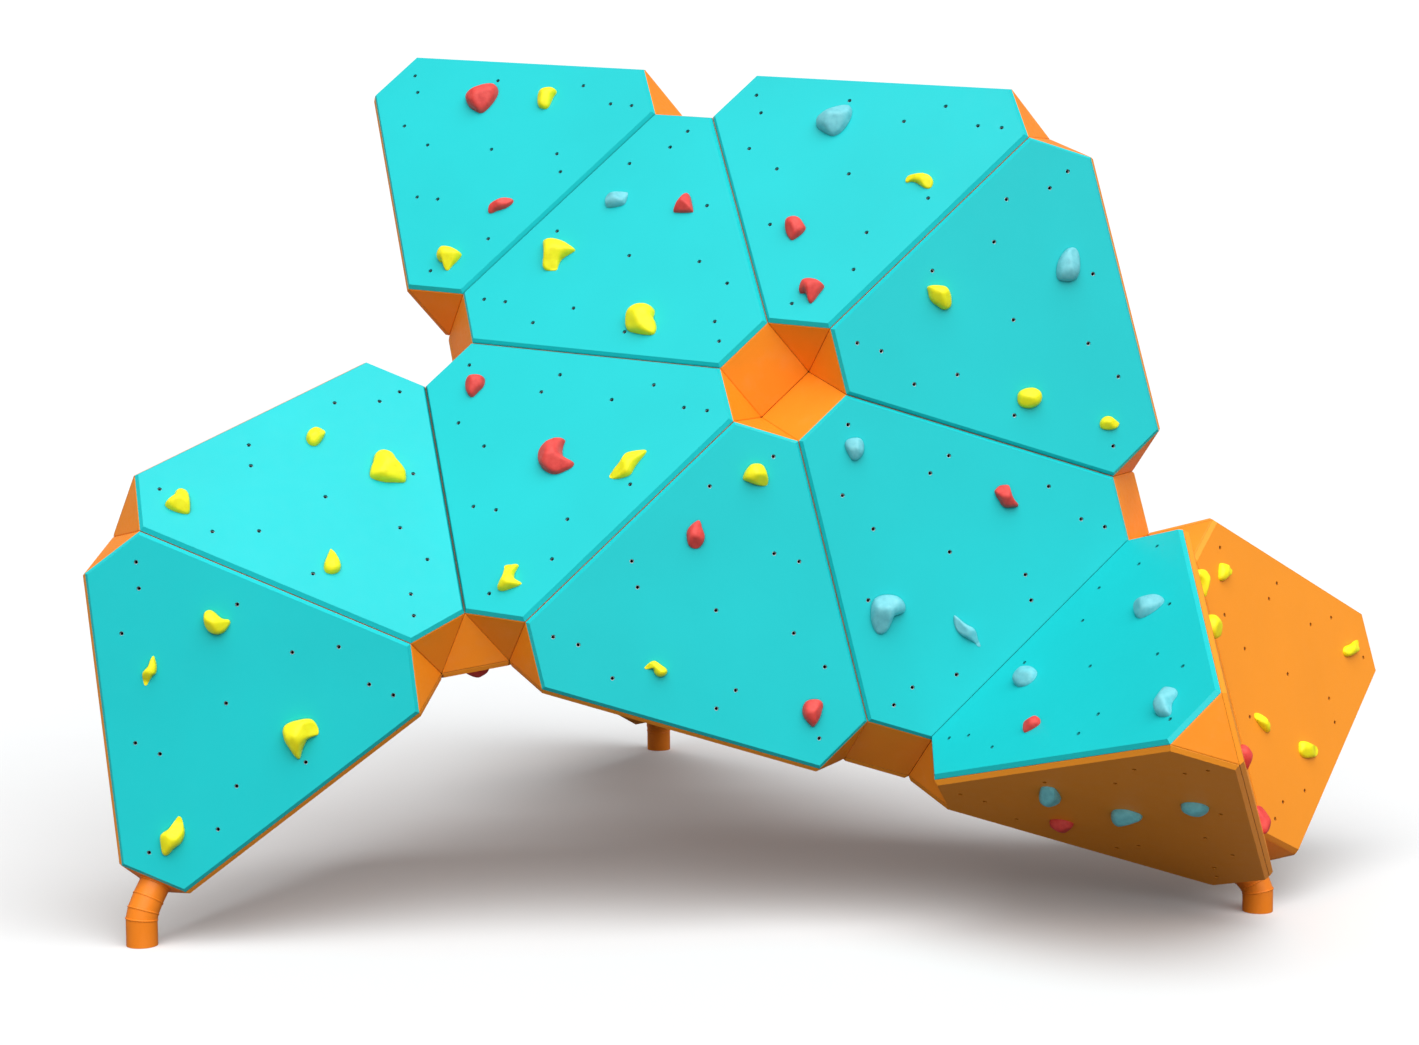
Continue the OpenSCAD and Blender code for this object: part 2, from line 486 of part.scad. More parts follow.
// Holds of the upper front: [face, grid point, colour, height, outline in mm].
// Each outline is drawn square to the sight of a visitor who stands in front.
drawn_holds = [
  [face_top_left, 9, red, 56,
    [[-60, 7], [-57, -11], [-46, -29], [-23, -44], [-4, -50], [16, -37], [41, -9],
     [56, 18], [57, 37], [48, 50], [30, 53], [9, 46], [-23, 28], [-51, 13]]],
  [face_top_left, 8, yellow, 39,
    [[-27, 18], [-29, 0], [-27, -16], [-15, -23], [0, -24], [10, -16], [17, -2],
     [26, 18], [37, 33], [37, 42], [24, 47], [5, 45], [-13, 37], [-24, 25]]],
  [face_top_left, 6, red, 29,
    [[-54, -18], [-52, -26], [-41, -26], [-25, -18], [-3, -12], [15, -4], [31, 9],
     [35, 18], [29, 23], [11, 23], [-11, 18], [-34, 11], [-47, 0]]],
  [face_top_left, 2, yellow, 46,
    [[-39, -11], [-43, -2], [-37, 16], [-26, 30], [-11, 32], [11, 29], [34, 18], [42, 10],
     [29, -9], [11, -27], [-4, -44], [-15, -44], [-21, -31], [-25, -16], [-33, -16]]],
  [face_upper_centre, 4, blue, 32,
    [[-39, -7], [-33, -25], [4, -22], [27, -14], [35, 4], [39, 25], [28, 28], [0, 23],
     [-26, 19], [-37, 6]]],
  [face_upper_centre, 9, red, 38,
    [[-42, -18], [-39, -23], [-3, -24], [23, -22], [25, -16], [20, 12], [14, 34],
     [6, 40], [-3, 34], [-17, 17], [-34, -7]]],
  [face_upper_centre, 5, yellow, 48,
    [[-64, 38], [-29, 42], [6, 34], [30, 21], [45, 9], [32, -1], [10, -14], [-5, -27],
     [-14, -45], [-20, -60], [-38, -63], [-59, -61], [-67, -51], [-63, -31], [-62, -5],
     [-65, 21]]],
  [face_upper_centre, 7, yellow, 56,
    [[-65, -18], [-63, -1], [-53, 20], [-34, 35], [-10, 41], [15, 39], [30, 29], [31, 16],
     [27, 1], [34, -14], [37, -35], [28, -54], [3, -56], [-31, -51], [-57, -43],
     [-65, -31]]],
  [face_top_right, 9, blue, 56,
    [[-59, -10], [-54, -26], [-39, -38], [-17, -49], [0, -53], [21, -43], [43, -19],
     [59, 11], [63, 37], [54, 50], [39, 50], [21, 42], [-4, 28], [-31, 14], [-52, 3]]],
  [face_top_right, 7, yellow, 26,
    [[-61, -4], [-58, 7], [-46, 15], [-20, 18], [5, 18], [22, 13], [32, 0], [30, -17],
     [20, -27], [5, -26], [-7, -19], [-24, -8], [-41, -4], [-54, -8]]],
  [face_top_right, 5, red, 41,
    [[-31, 7], [-30, 24], [-20, 34], [-3, 37], [19, 33], [31, 17], [37, 3], [25, -14],
     [6, -29], [-11, -37], [-24, -23], [-30, -8]]],
  [face_top_right, 2, red, 46,
    [[-41, -12], [-41, -2], [-33, 15], [-23, 27], [-2, 30], [23, 23], [40, 13], [38, 3],
     [23, -16], [9, -35], [-4, -47], [-12, -39], [-16, -23], [-23, -12], [-33, -14]]],
  [face_right, 9, blue, 45,
    [[-38, -34], [-39, -17], [-34, 13], [-21, 38], [-4, 57], [13, 62], [27, 57], [36, 38],
     [37, 8], [36, -17], [30, -38], [13, -50], [-13, -51], [-32, -46]]],
  [face_right, 5, yellow, 47,
    [[-33, 31], [-20, 37], [1, 37], [22, 34], [34, 25], [42, 8], [46, -13], [45, -31],
     [34, -42], [17, -42], [1, -31], [-16, -19], [-26, -4], [-30, 15]]],
  [face_right, 7, yellow, 41,
    [[-49, 0], [-46, 17], [-32, 29], [-11, 35], [10, 33], [27, 21], [31, 4], [27, -13],
     [14, -26], [-7, -33], [-30, -30], [-45, -19]]],
  [face_right, 3, yellow, 27,
    [[-25, -10], [-23, 0], [-16, 10], [-4, 17], [11, 16], [25, 6], [38, -4], [40, -10],
     [30, -23], [11, -28], [-10, -27], [-22, -21]]],
  [face_centre_right, 1, blue, 37,
    [[-27, 20], [-20, 34], [0, 41], [20, 40], [32, 28], [35, 7], [30, -15], [18, -29],
     [6, -34], [-7, -28], [-16, -11], [-23, 3]]],
  [face_centre_right, 8, red, 46,
    [[-35, 16], [-30, 26], [-18, 36], [-1, 39], [11, 37], [15, 20], [20, 3], [30, -13],
     [43, -26], [40, -34], [26, -36], [5, -37], [-10, -30], [-20, -13], [-28, -1]]],
  [face_centre_right, 5, blue, 56,
    [[-69, -13], [-66, 12], [-56, 32], [-36, 43], [-7, 46], [18, 40], [35, 26], [43, 7],
     [40, -12], [23, -20], [5, -26], [-2, -43], [-12, -66], [-26, -81], [-46, -82],
     [-59, -66], [-67, -40]]],
  [face_centre_right, 6, blue, 30,
    [[-49, 51], [-37, 46], [-24, 34], [-8, 22], [13, 11], [23, -3], [29, -24], [40, -49],
     [31, -51], [17, -38], [0, -28], [-21, -16], [-37, -1], [-47, 22]]],
  [face_centre_low, 1, yellow, 44,
    [[-35, -16], [-31, 3], [-20, 21], [-6, 33], [16, 35], [31, 27], [41, 7], [47, -18],
     [43, -36], [25, -38], [0, -32], [-20, -24]]],
  [face_centre_low, 4, red, 35,
    [[9, 34], [16, 27], [20, 10], [26, -6], [29, -22], [23, -42], [9, -57], [-7, -58],
     [-22, -49], [-28, -30], [-29, -6], [-22, 10], [-7, 25]]],
  [face_centre_low, 6, yellow, 32,
    [[-40, 0], [-33, 9], [-19, 20], [-6, 23], [4, 17], [18, 7], [30, -2], [34, -12],
     [27, -24], [14, -29], [2, -26], [-8, -16], [-12, -2], [-27, -4], [-37, -4]]],
  [face_centre_low, 3, red, 40,
    [[-34, 7], [-30, 27], [-18, 41], [3, 46], [23, 43], [33, 29], [29, 7], [21, -18],
     [10, -36], [0, -45], [-12, -34], [-26, -18], [-32, -6]]],
  [face_centre_left, 2, red, 39,
    [[-26, 9], [-19, 24], [-4, 34], [17, 36], [34, 32], [38, 19], [32, 0], [15, -17],
     [-2, -34], [-15, -32], [-24, -17], [-27, -4]]],
  [face_centre_left, 0, red, 56,
    [[-58, 0], [-55, 17], [-41, 33], [-20, 48], [1, 60], [20, 63], [30, 58], [24, 42],
     [20, 21], [24, 4], [38, -6], [55, -13], [59, -19], [51, -31], [30, -42], [5, -52],
     [-20, -51], [-43, -37], [-55, -19]]],
  [face_centre_left, 9, yellow, 34,
    [[-59, -35], [-54, -43], [-40, -45], [-15, -41], [10, -31], [24, -8], [35, 8],
     [51, 27], [63, 43], [61, 50], [47, 50], [18, 45], [-3, 37], [-13, 20], [-23, 2],
     [-44, -18]]],
  [face_centre_left, 3, yellow, 38,
    [[-18, 37], [-12, 43], [9, 45], [29, 43], [25, 33], [15, 14], [16, -2], [29, -10],
     [39, -16], [29, -24], [4, -33], [-20, -41], [-36, -39], [-38, -31], [-28, -18],
     [-20, 0], [-18, 20]]],
  [face_left, 2, yellow, 44,
    [[-56, -7], [-49, 3], [-37, 11], [-24, 20], [-23, 32], [-12, 38], [4, 38], [18, 30],
     [24, 11], [26, -13], [24, -33], [8, -36], [-20, -29], [-43, -19]]],
  [face_left, 4, yellow, 34,
    [[-30, -13], [-29, 1], [-18, 15], [1, 21], [24, 20], [34, 12], [30, -1], [20, -18],
     [7, -32], [-7, -35], [-22, -28]]],
  [face_left, 9, yellow, 56,
    [[-61, -26], [-59, -5], [-51, 16], [-47, 37], [-32, 50], [-13, 49], [10, 41],
     [22, 29], [27, 14], [44, -3], [57, -18], [60, -39], [54, -49], [27, -49], [-7, -48],
     [-36, -42], [-55, -34]]],
  [face_left, 7, yellow, 32,
    [[-10, 53], [-2, 44], [9, 27], [19, 7], [22, -9], [14, -23], [-2, -29], [-22, -27],
     [-32, -15], [-32, 3], [-24, 24], [-16, 44]]],
  [face_left_low, 9, yellow, 47,
    [[-37, 16], [-32, 29], [-18, 34], [-2, 26], [12, 13], [26, 5], [42, 3], [48, -6],
     [40, -22], [26, -38], [6, -45], [-16, -38], [-30, -22], [-36, -2]]],
  [face_left_low, 4, yellow, 26,
    [[13, 50], [20, 35], [24, 14], [21, -6], [11, -14], [1, -30], [-9, -46], [-17, -42],
     [-21, -22], [-21, -6], [-13, 6], [-3, 16], [3, 35]]],
  [face_left_low, 7, yellow, 56,
    [[-64, 14], [-59, 31], [-42, 42], [-19, 49], [10, 54], [30, 51], [44, 35], [51, 16],
     [48, 2], [34, -3], [16, -12], [6, -28], [-3, -50], [-8, -70], [-14, -76], [-26, -66],
     [-42, -42], [-57, -18], [-63, 3]]],
  [face_left_low, 2, yellow, 40,
    [[26, 67], [37, 59], [42, 39], [46, 16], [41, -6], [31, -22], [10, -38], [-6, -56],
     [-18, -59], [-26, -50], [-30, -26], [-32, 3], [-22, 16], [-6, 26], [10, 47]]],
  [face_side_right, 1, yellow, 26,
    [[-17, -19], [-15, 28], [-4, 31], [17, 20], [30, 7], [21, -6], [6, -19], [-4, -28]]],
  [face_side_right, 3, yellow, 26,
    [[-21, -2], [-15, 12], [5, 21], [19, 32], [32, 36], [35, 21], [32, 0], [19, -13],
     [1, -23], [-13, -22], [-19, -13]]],
  [face_side_right, 5, yellow, 24,
    [[-26, 41], [-17, 45], [-5, 37], [10, 20], [22, 3], [25, -12], [19, -22], [6, -14],
     [-11, 7], [-24, 26]]],
  [face_side_right, 6, yellow, 27,
    [[-17, -10], [-19, 11], [-17, 26], [-6, 31], [16, 22], [40, 14], [48, -2], [42, -21],
     [20, -28], [-2, -26]]]];
// Holds on the steep, low front panels: [face, grid point, colour, shape, size].
front_holds = [
  [face_right_low, 7, blue, wedge, 112], [face_right_low, 9, blue, disc, 96],
  [face_right_low, 2, blue, bend, 112], [face_right_low, 4, red, knob, 66],
  [face_underside, 9, blue, block, 106], [face_underside, 4, red, knob, 84],
  [face_underside, 0, blue, horseshoe, 104], [face_underside, 7, blue, disc, 88],
  [face_side_edge, 1, yellow, tooth, 90], [face_side_edge, 4, yellow, disc, 96],
  [face_side_edge, 6, red, knob, 80], [face_side_edge, 3, red, block, 92]];
// On the rear panels a rule spreads the same shapes: three grid points each.
rear_points = [[1, 5, 8], [2, 4, 7], [3, 6, 9], [0, 1, 6]];
rear_holds = [for (i = [0:len(rear) - 1], j = [0:2])
  [rear[i], rear_points[i % 4][j], (i + 2 * j) % 3,
   (7 * i + 5 * j + 3) % len(shapes), 78 + (i * 13 + j * 17) % 40]];

// ---- holds ----------------------------------------------------------------------------------
visitor = [948, -8877, 2239]; // the visitor's eye
ahead = unit([0.1009, 0.9899, -0.0998]);
right = unit(cross(ahead, [0.016, 0.0987, 0.995]));
above = cross(right, ahead);
sight_level = 0.45; // share of a hold's height at which its outline is centred
// A drawn outline laid back along the visitor's sight onto its panel.
function laid(face, point, height, outline) =
  let (n = outward(face), x = face_x(face), y = cross(n, x),
       bolt = face_mid(face) + grid[point].x * x + grid[point].y * y + panel_t * n,
       sight = unit(bolt - visitor))
  [for (q = outline)
    let (seen = (q.x - sight_level * height * (n * right)) * right
              + (q.y - sight_level * height * (n * above)) * above,
         flat = seen - sight * (n * seen) / (n * sight))
    [flat * x, flat * y]];
// A smooth closed outline through the given points, one point added in each gap.
function smooth(points) = let (n = len(points)) [for (i = [0:n - 1], t = [0, 0.5])
  let (a = points[(i + n - 1) % n], b = points[i], c = points[(i + 1) % n],
       d = points[(i + 2) % n])
  0.5 * (2 * b + (c - a) * t + (2 * a - 5 * b + 4 * c - d) * t * t
         + (3 * b - a - 3 * c + d) * t * t * t)];
function hold_height(size) = min(56, max(24, 0.38 * size));
// Turn from the face's x axis to the way the ground's up vector runs on it.
function up_turn(face) =
  let (x = face_x(face), y = cross(outward(face), x), up = [x.z, y.z])
  norm(up) < 0.02 ? 0 : atan2(up.y, up.x);
// Every hold: [face, grid point, colour, height, turn, outline in mm].
all_holds = concat(
  [for (q = drawn_holds) [q[0], q[1], q[2], q[3], 0, laid(q[0], q[1], q[3], q[4])]],
  [for (q = concat(front_holds, rear_holds))
    [q[0], q[1], q[2], hold_height(q[4]), up_turn(q[0]) - 90, q[4] * smooth(shapes[q[3]])]]);

hold_bore_r = 5.5;
seat_r = 8.3;
seat_h = 10;      // height of the bolt head's seat above the panel
step_h = 0.6;     // share of a hold's height where its outline steps in
step_scale = 0.7; // scale of the outline above that step
hold_head_r = 8;
hold_head_h = 6;
socket_r = 4.6;
socket_floor = 2.5;
hold_bolt_start = 1; // from the panel's back to the shank's end

// A hold in two steps, with a counterbored hole for its bolt.
module hold(outline, height) {
  middle = [for (i = [0:len(outline) - 1]) 1 / len(outline)] * outline;
  difference() {
    union() {
      linear_extrude(step_h * height) polygon(outline);
      linear_extrude(height)
        polygon([for (q = outline) middle + step_scale * (q - middle)]);
    }
    drill(hold_bore_r, height);
    translate([0, 0, seat_h]) cylinder(r = seat_r, h = height);
  }
}
module holds(colour) for (q = all_holds) if (q[2] == colour)
  on_face(q[0]) at([grid[q[1]]]) translate([0, 0, panel_t])
    rotate([0, 0, q[4]]) hold(q[5], q[3]);
// Low-head screws, all one length.
module hold_bolt() {
  seat = panel_t + seat_h;
  difference() {
    union() {
      translate([0, 0, hold_bolt_start]) cylinder(r = bolt_r, h = seat - hold_bolt_start);
      translate([0, 0, seat]) cylinder(r = hold_head_r, h = hold_head_h);
    }
    translate([0, 0, seat + socket_floor]) cylinder(r = socket_r, h = hold_head_h, $fn = 6);
  }
}
module hold_bolts() color("silver") for (q = all_holds)
  on_face(q[0]) at([grid[q[1]]]) hold_bolt();

// ---- nodes ------------------------------------------------------------------------------------
module panel_top_left() panels([face_top_left], teal);
module panel_upper_centre() panels([face_upper_centre], teal);
module panel_top_right() panels([face_top_right], teal);
module panel_right() panels([face_right], teal);
module panel_centre_right() panels([face_centre_right], teal);
module panel_centre_low() panels([face_centre_low], teal);
module panel_centre_left() panels([face_centre_left], teal);
module panel_left() panels([face_left], teal);
module panel_left_low() panels([face_left_low], teal);
module panel_right_low() panels([face_right_low], teal);
module panel_side_edge() panels([face_side_edge], orange);
module panel_side_right() panels([face_side_right], orange);
module panel_underside() panels([face_underside], orange);
module rear_panels_top_left() panels(rear_top_left, orange);
module rear_panels_upper_centre() panels(rear_upper_centre, orange);
module rear_panel_top_right() panels(rear_top_right, orange);
module rear_panel_right() panels(rear_right, orange);
module rear_panels_lower_centre() panels(rear_lower_centre, orange);
module rear_panel_centre_low() panels(rear_centre_low, orange);
module rear_panels_left_inner() panels(rear_left_inner, orange);
module rear_panel_left() panels(rear_left, orange);
module rear_panels_left_low() panels(rear_left_low, orange);
module rear_panel_right_low() panels(rear_right_low, orange);
module rear_panels_side_right() panels(rear_side_right, orange);
module leg_panels_1() panels(leg_1, orange);
module leg_panels_2() panels(leg_2, orange);
module leg_panels_3() panels(leg_3, orange);
module leg_panels_4() panels(leg_4, orange);
module frame_top_left() tetra_frame([top_mid, upper_left, top_left, back_high]);
module frame_upper_centre()
  octa_frame([hub, back_high, top_mid, back_mid, upper_left, back_right]);
module frame_top_right() tetra_frame([hub, top_right, top_mid, back_right]);
module frame_right() tetra_frame([hub, top_right, mid_right, back_right]);
module frame_lower_centre()
  octa_frame([hub, back_low, mid_right, back_mid, low_mid, back_right]);
module frame_centre_low() tetra_frame([hub, low_mid, low_left, back_mid]);
module frame_centre_left() tetra_frame([hub, upper_left, low_left, back_mid]);
module frame_left_inner() tetra_frame([upper_left, low_left, back_mid, back_left]);
module frame_left() tetra_frame([upper_left, low_left, back_left, far_left]);
module frame_left_low() tetra_frame(foot_cells[0], foot = 3);
module frame_right_inner() tetra_frame(foot_cells[1], foot = 3);
module frame_right_low() tetra_frame([low_mid, mid_right, foot_right, front_tip]);
module frame_side_right() tetra_frame([mid_right, back_low, foot_right, right_tip]);
module frame_leg_1() tetra_frame([back_right, back_mid, back_high, leg_right]);
module frame_leg_2() tetra_frame([back_high, back_mid, leg_right, leg_left]);
module frame_leg_3() tetra_frame([back_high, leg_right, leg_left, leg_back]);
module frame_leg_4() tetra_frame(foot_cells[2], foot = 3);
module foot_tube_left() mitred_tube(foot_lines[0]);
module foot_tube_right() mitred_tube(foot_lines[1]);
module foot_tube_rear() mitred_tube(foot_lines[2]);
module holds_yellow() color("yellow") holds(yellow);
module holds_red() color("tomato") holds(red);
module holds_blue() color("skyblue") holds(blue);

panel_top_left();
panel_upper_centre();
panel_top_right();
panel_right();
panel_centre_right();
panel_centre_low();
panel_centre_left();
panel_left();
panel_left_low();
panel_right_low();
panel_side_edge();
panel_side_right();
panel_underside();
rear_panels_top_left();
rear_panels_upper_centre();
rear_panel_top_right();
rear_panel_right();
rear_panels_lower_centre();
rear_panel_centre_low();
rear_panels_left_inner();
rear_panel_left();
rear_panels_left_low();
rear_panel_right_low();
rear_panels_side_right();
leg_panels_1();
leg_panels_2();
leg_panels_3();
leg_panels_4();
frame_top_left();
frame_upper_centre();
frame_top_right();
frame_right();
frame_lower_centre();
frame_centre_low();
frame_centre_left();
frame_left_inner();
frame_left();
frame_left_low();
frame_right_inner();
frame_right_low();
frame_side_right();
frame_leg_1();
frame_leg_2();
frame_leg_3();
frame_leg_4();
foot_tube_left();
foot_tube_right();
foot_tube_rear();
foot_end_plates();
foot_bolts();
foot_nuts();
panel_screws();
frame_bolts();
frame_nuts();
t_nuts();
hold_bolts();
holds_yellow();
holds_red();
holds_blue();
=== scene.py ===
"""A climbing frame of triangular panels on a tetrahedral lattice, standing on three tube
feet and studded with resin holds. Metres, +Z up, floor at z = 0. The front looks
towards -Y. The left foot meets the floor at the origin, the right foot lies along +X
from it and the rear foot towards +Y.
"""
import math

import bmesh
import bpy
import numpy as np
from mathutils import Matrix, Vector, noise
from mathutils.geometry import delaunay_2d_cdt


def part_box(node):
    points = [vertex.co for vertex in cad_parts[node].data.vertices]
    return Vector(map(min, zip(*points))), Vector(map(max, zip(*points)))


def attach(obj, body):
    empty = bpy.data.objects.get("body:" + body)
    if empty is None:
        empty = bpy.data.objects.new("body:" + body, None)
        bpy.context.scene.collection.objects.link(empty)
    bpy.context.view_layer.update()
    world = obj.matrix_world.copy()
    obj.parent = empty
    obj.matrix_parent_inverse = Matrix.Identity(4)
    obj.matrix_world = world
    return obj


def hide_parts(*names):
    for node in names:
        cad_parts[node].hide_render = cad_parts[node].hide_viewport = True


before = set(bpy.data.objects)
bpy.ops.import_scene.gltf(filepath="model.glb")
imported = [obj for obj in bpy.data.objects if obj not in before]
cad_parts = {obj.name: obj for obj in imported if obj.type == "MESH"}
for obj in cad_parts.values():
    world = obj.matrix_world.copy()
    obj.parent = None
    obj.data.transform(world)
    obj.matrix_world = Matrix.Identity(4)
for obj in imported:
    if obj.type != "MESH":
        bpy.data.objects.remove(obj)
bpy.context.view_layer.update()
SCENE = bpy.context.scene

# ---------------------------------------------------------------- lattice ---
EDGE = 1.4        # edge of every tetrahedron
CUT = 0.16        # share of a foot's tetrahedron height cut off at its tip
CLEAR = 0.042     # height of the lowest lattice corners above the floor
PANEL_T = 0.015   # panel thickness
TUBE_R = 0.0508   # foot tube radius
# Bent pieces of a foot tube from the top: length, share of the full lean.
ELBOW = ((0.052, 1), (0.042, 0.85), (0.028, 0.45))
# Tetrahedron on each foot: its tip, then the three far corners.
FEET = {"left": ("10", "9", "4", "y"), "right": ("z", "5", "6", "xe"),
        "rear": ("h", "w", "p2", "p3")}


def unit(v):
    return v / np.linalg.norm(v)


def lattice():
    """Labelled lattice corners, turned so that the three foot tips lie at z = 0."""
    p = {}

    def across(a, b, c, apex):
        """The apex mirrored through the face a, b, c."""
        return 2 * (p[a] + p[b] + p[c]) / 3 - p[apex]

    p["0"] = np.zeros(3)
    p["1"] = np.array([1.0, 0, 0])
    p["2"] = np.array([0.5, math.sqrt(3) / 2, 0])
    p["3"] = p["2"] - p["1"]
    p["4"] = -p["1"]
    p["7"] = p["2"] + p["3"]
    p["qa"] = (p["0"] + p["1"] + p["2"]) / 3 - np.array([0, 0, math.sqrt(2 / 3)])
    p["qb"] = p["qa"] - p["1"]
    p["6"] = across("0", "1", "qa", "2")
    p["5"] = across("0", "4", "qb", "3")
    p["xb"] = p["2"] + p["qb"]
    p["xe"] = p["6"] + p["qb"]
    p["y"] = across("3", "4", "qb", "0")
    p["9"] = across("3", "4", "y", "qb")
    p["10"] = across("9", "4", "y", "3")
    p["z"] = p["5"] + p["6"]
    p["11"] = across("5", "6", "z", "xe")
    p["13"] = across("6", "xe", "z", "5")
    p["w"] = p["qa"] + p["qb"]
    p["p2"] = across("xb", "qb", "w", "qa")
    p["p3"] = across("xb", "w", "p2", "qb")
    p["h"] = across("w", "p2", "p3", "xb")
    base = p["10"]
    axis_z = unit(np.cross(p["z"] - base, p["h"] - base))
    axis_x = unit(p["z"] - base)
    axis_y = np.cross(axis_z, axis_x)
    return {k: EDGE * np.array([(v - base) @ axis_x, (v - base) @ axis_y, (v - base) @ axis_z])
            for k, v in p.items()}


def foot_line(corners):
    """Centre line of a foot tube: the cut tip, three bent pieces, then down to the floor."""
    tip = corners[0]
    far = (corners[1] + corners[2] + corners[3]) / 3
    axis = unit(tip - far)
    point = tip + CUT * (far - tip)
    full_lean = math.acos(-axis[2])
    flat = unit(np.array([axis[0], axis[1], 0]))
    line = [point]
    for length, share in ELBOW:
        lean = full_lean * share
        point = point + length * (flat * math.sin(lean) + np.array([0, 0, -math.cos(lean)]))
        line.append(point)
    line.append(np.array([point[0], point[1], 0.0]))
    return line


RAW = lattice()
LEFT_END = foot_line([RAW[k] + np.array([0, 0, CLEAR]) for k in FEET["left"]])[-1]
SHIFT = np.array([-LEFT_END[0], -LEFT_END[1], CLEAR])
CORNERS = {k: v + SHIFT for k, v in RAW.items()}

# Panels: three corners of the face, then a corner on its inner side.
FRONT = {
    "a": ("7", "2", "3", "xb"), "b": ("2", "3", "0", "xb"), "c": ("2", "1", "0", "qa"),
    "d": ("1", "6", "0", "qa"), "e": ("0", "6", "5", "qa"), "f": ("0", "5", "4", "qb"),
    "g": ("0", "4", "3", "qb"), "h": ("3", "4", "9", "y"), "i": ("9", "4", "10", "y"),
    "j": ("5", "6", "11", "z"), "k": ("5", "11", "z", "6"), "l": ("6", "13", "z", "xe"),
    "n": ("6", "11", "z", "5")}
REAR = [
    ("2", "7", "xb", "3"), ("3", "7", "xb", "2"), ("2", "qa", "xb", "0"),
    ("3", "qb", "xb", "0"), ("1", "2", "qa", "0"), ("1", "6", "qa", "0"),
    ("6", "qa", "xe", "0"), ("5", "qb", "xe", "0"), ("qa", "qb", "xe", "0"),
    ("5", "4", "qb", "0"), ("3", "qb", "y", "4"), ("4", "qb", "y", "3"),
    ("3", "y", "9", "4"), ("9", "y", "10", "4"), ("4", "y", "10", "9"),
    ("5", "xe", "z", "6"), ("6", "xe", "13", "z"), ("xe", "z", "13", "6"),
    ("qa", "qb", "w", "xb"), ("xb", "qa", "w", "qb"), ("xb", "qb", "p2", "w"),
    ("qb", "w", "p2", "xb"), ("xb", "w", "p3", "p2"), ("xb", "p2", "p3", "w"),
    ("w", "p2", "h", "p3"), ("w", "p3", "h", "p2"), ("p2", "p3", "h", "w")]


def face_frame(panel):
    """Centre, x axis towards the first corner, y axis and outward normal."""
    a, b, c, inner = (CORNERS[k] for k in panel)
    mid = (a + b + c) / 3
    normal = unit(np.cross(b - a, c - a))
    if normal @ (inner - mid) > 0:
        normal = -normal
    x = unit(a - mid)
    return mid, x, np.cross(normal, x), normal


def polar(radius, degrees):
    return (radius * math.cos(math.radians(degrees)), radius * math.sin(math.radians(degrees)))


# Ten places on a panel: 0 the centre, 1-3 towards the corners, 4-9 a ring.
STEP = 0.192 * EDGE
GRID = [(0.0, 0.0)]
GRID += [polar(STEP * math.sqrt(3), angle) for angle in (0, 120, 240)]
GRID += [polar(STEP, angle) for angle in range(30, 360, 60)]

# The lattice must agree with the loaded pieces, or the holds would float.
NODE_OF = {"a": "panel_top_left", "c": "panel_top_right", "h": "panel_left",
           "k": "panel_underside"}
NODE_SLACK = 0.05
for key, node in NODE_OF.items():
    low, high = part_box(node)
    centre = face_frame(FRONT[key])[0]
    if not all(low[i] - NODE_SLACK < centre[i] < high[i] + NODE_SLACK for i in range(3)):
        raise SystemExit("the lattice does not match the CAD node " + node)

# -------------------------------------------------------------- materials ---


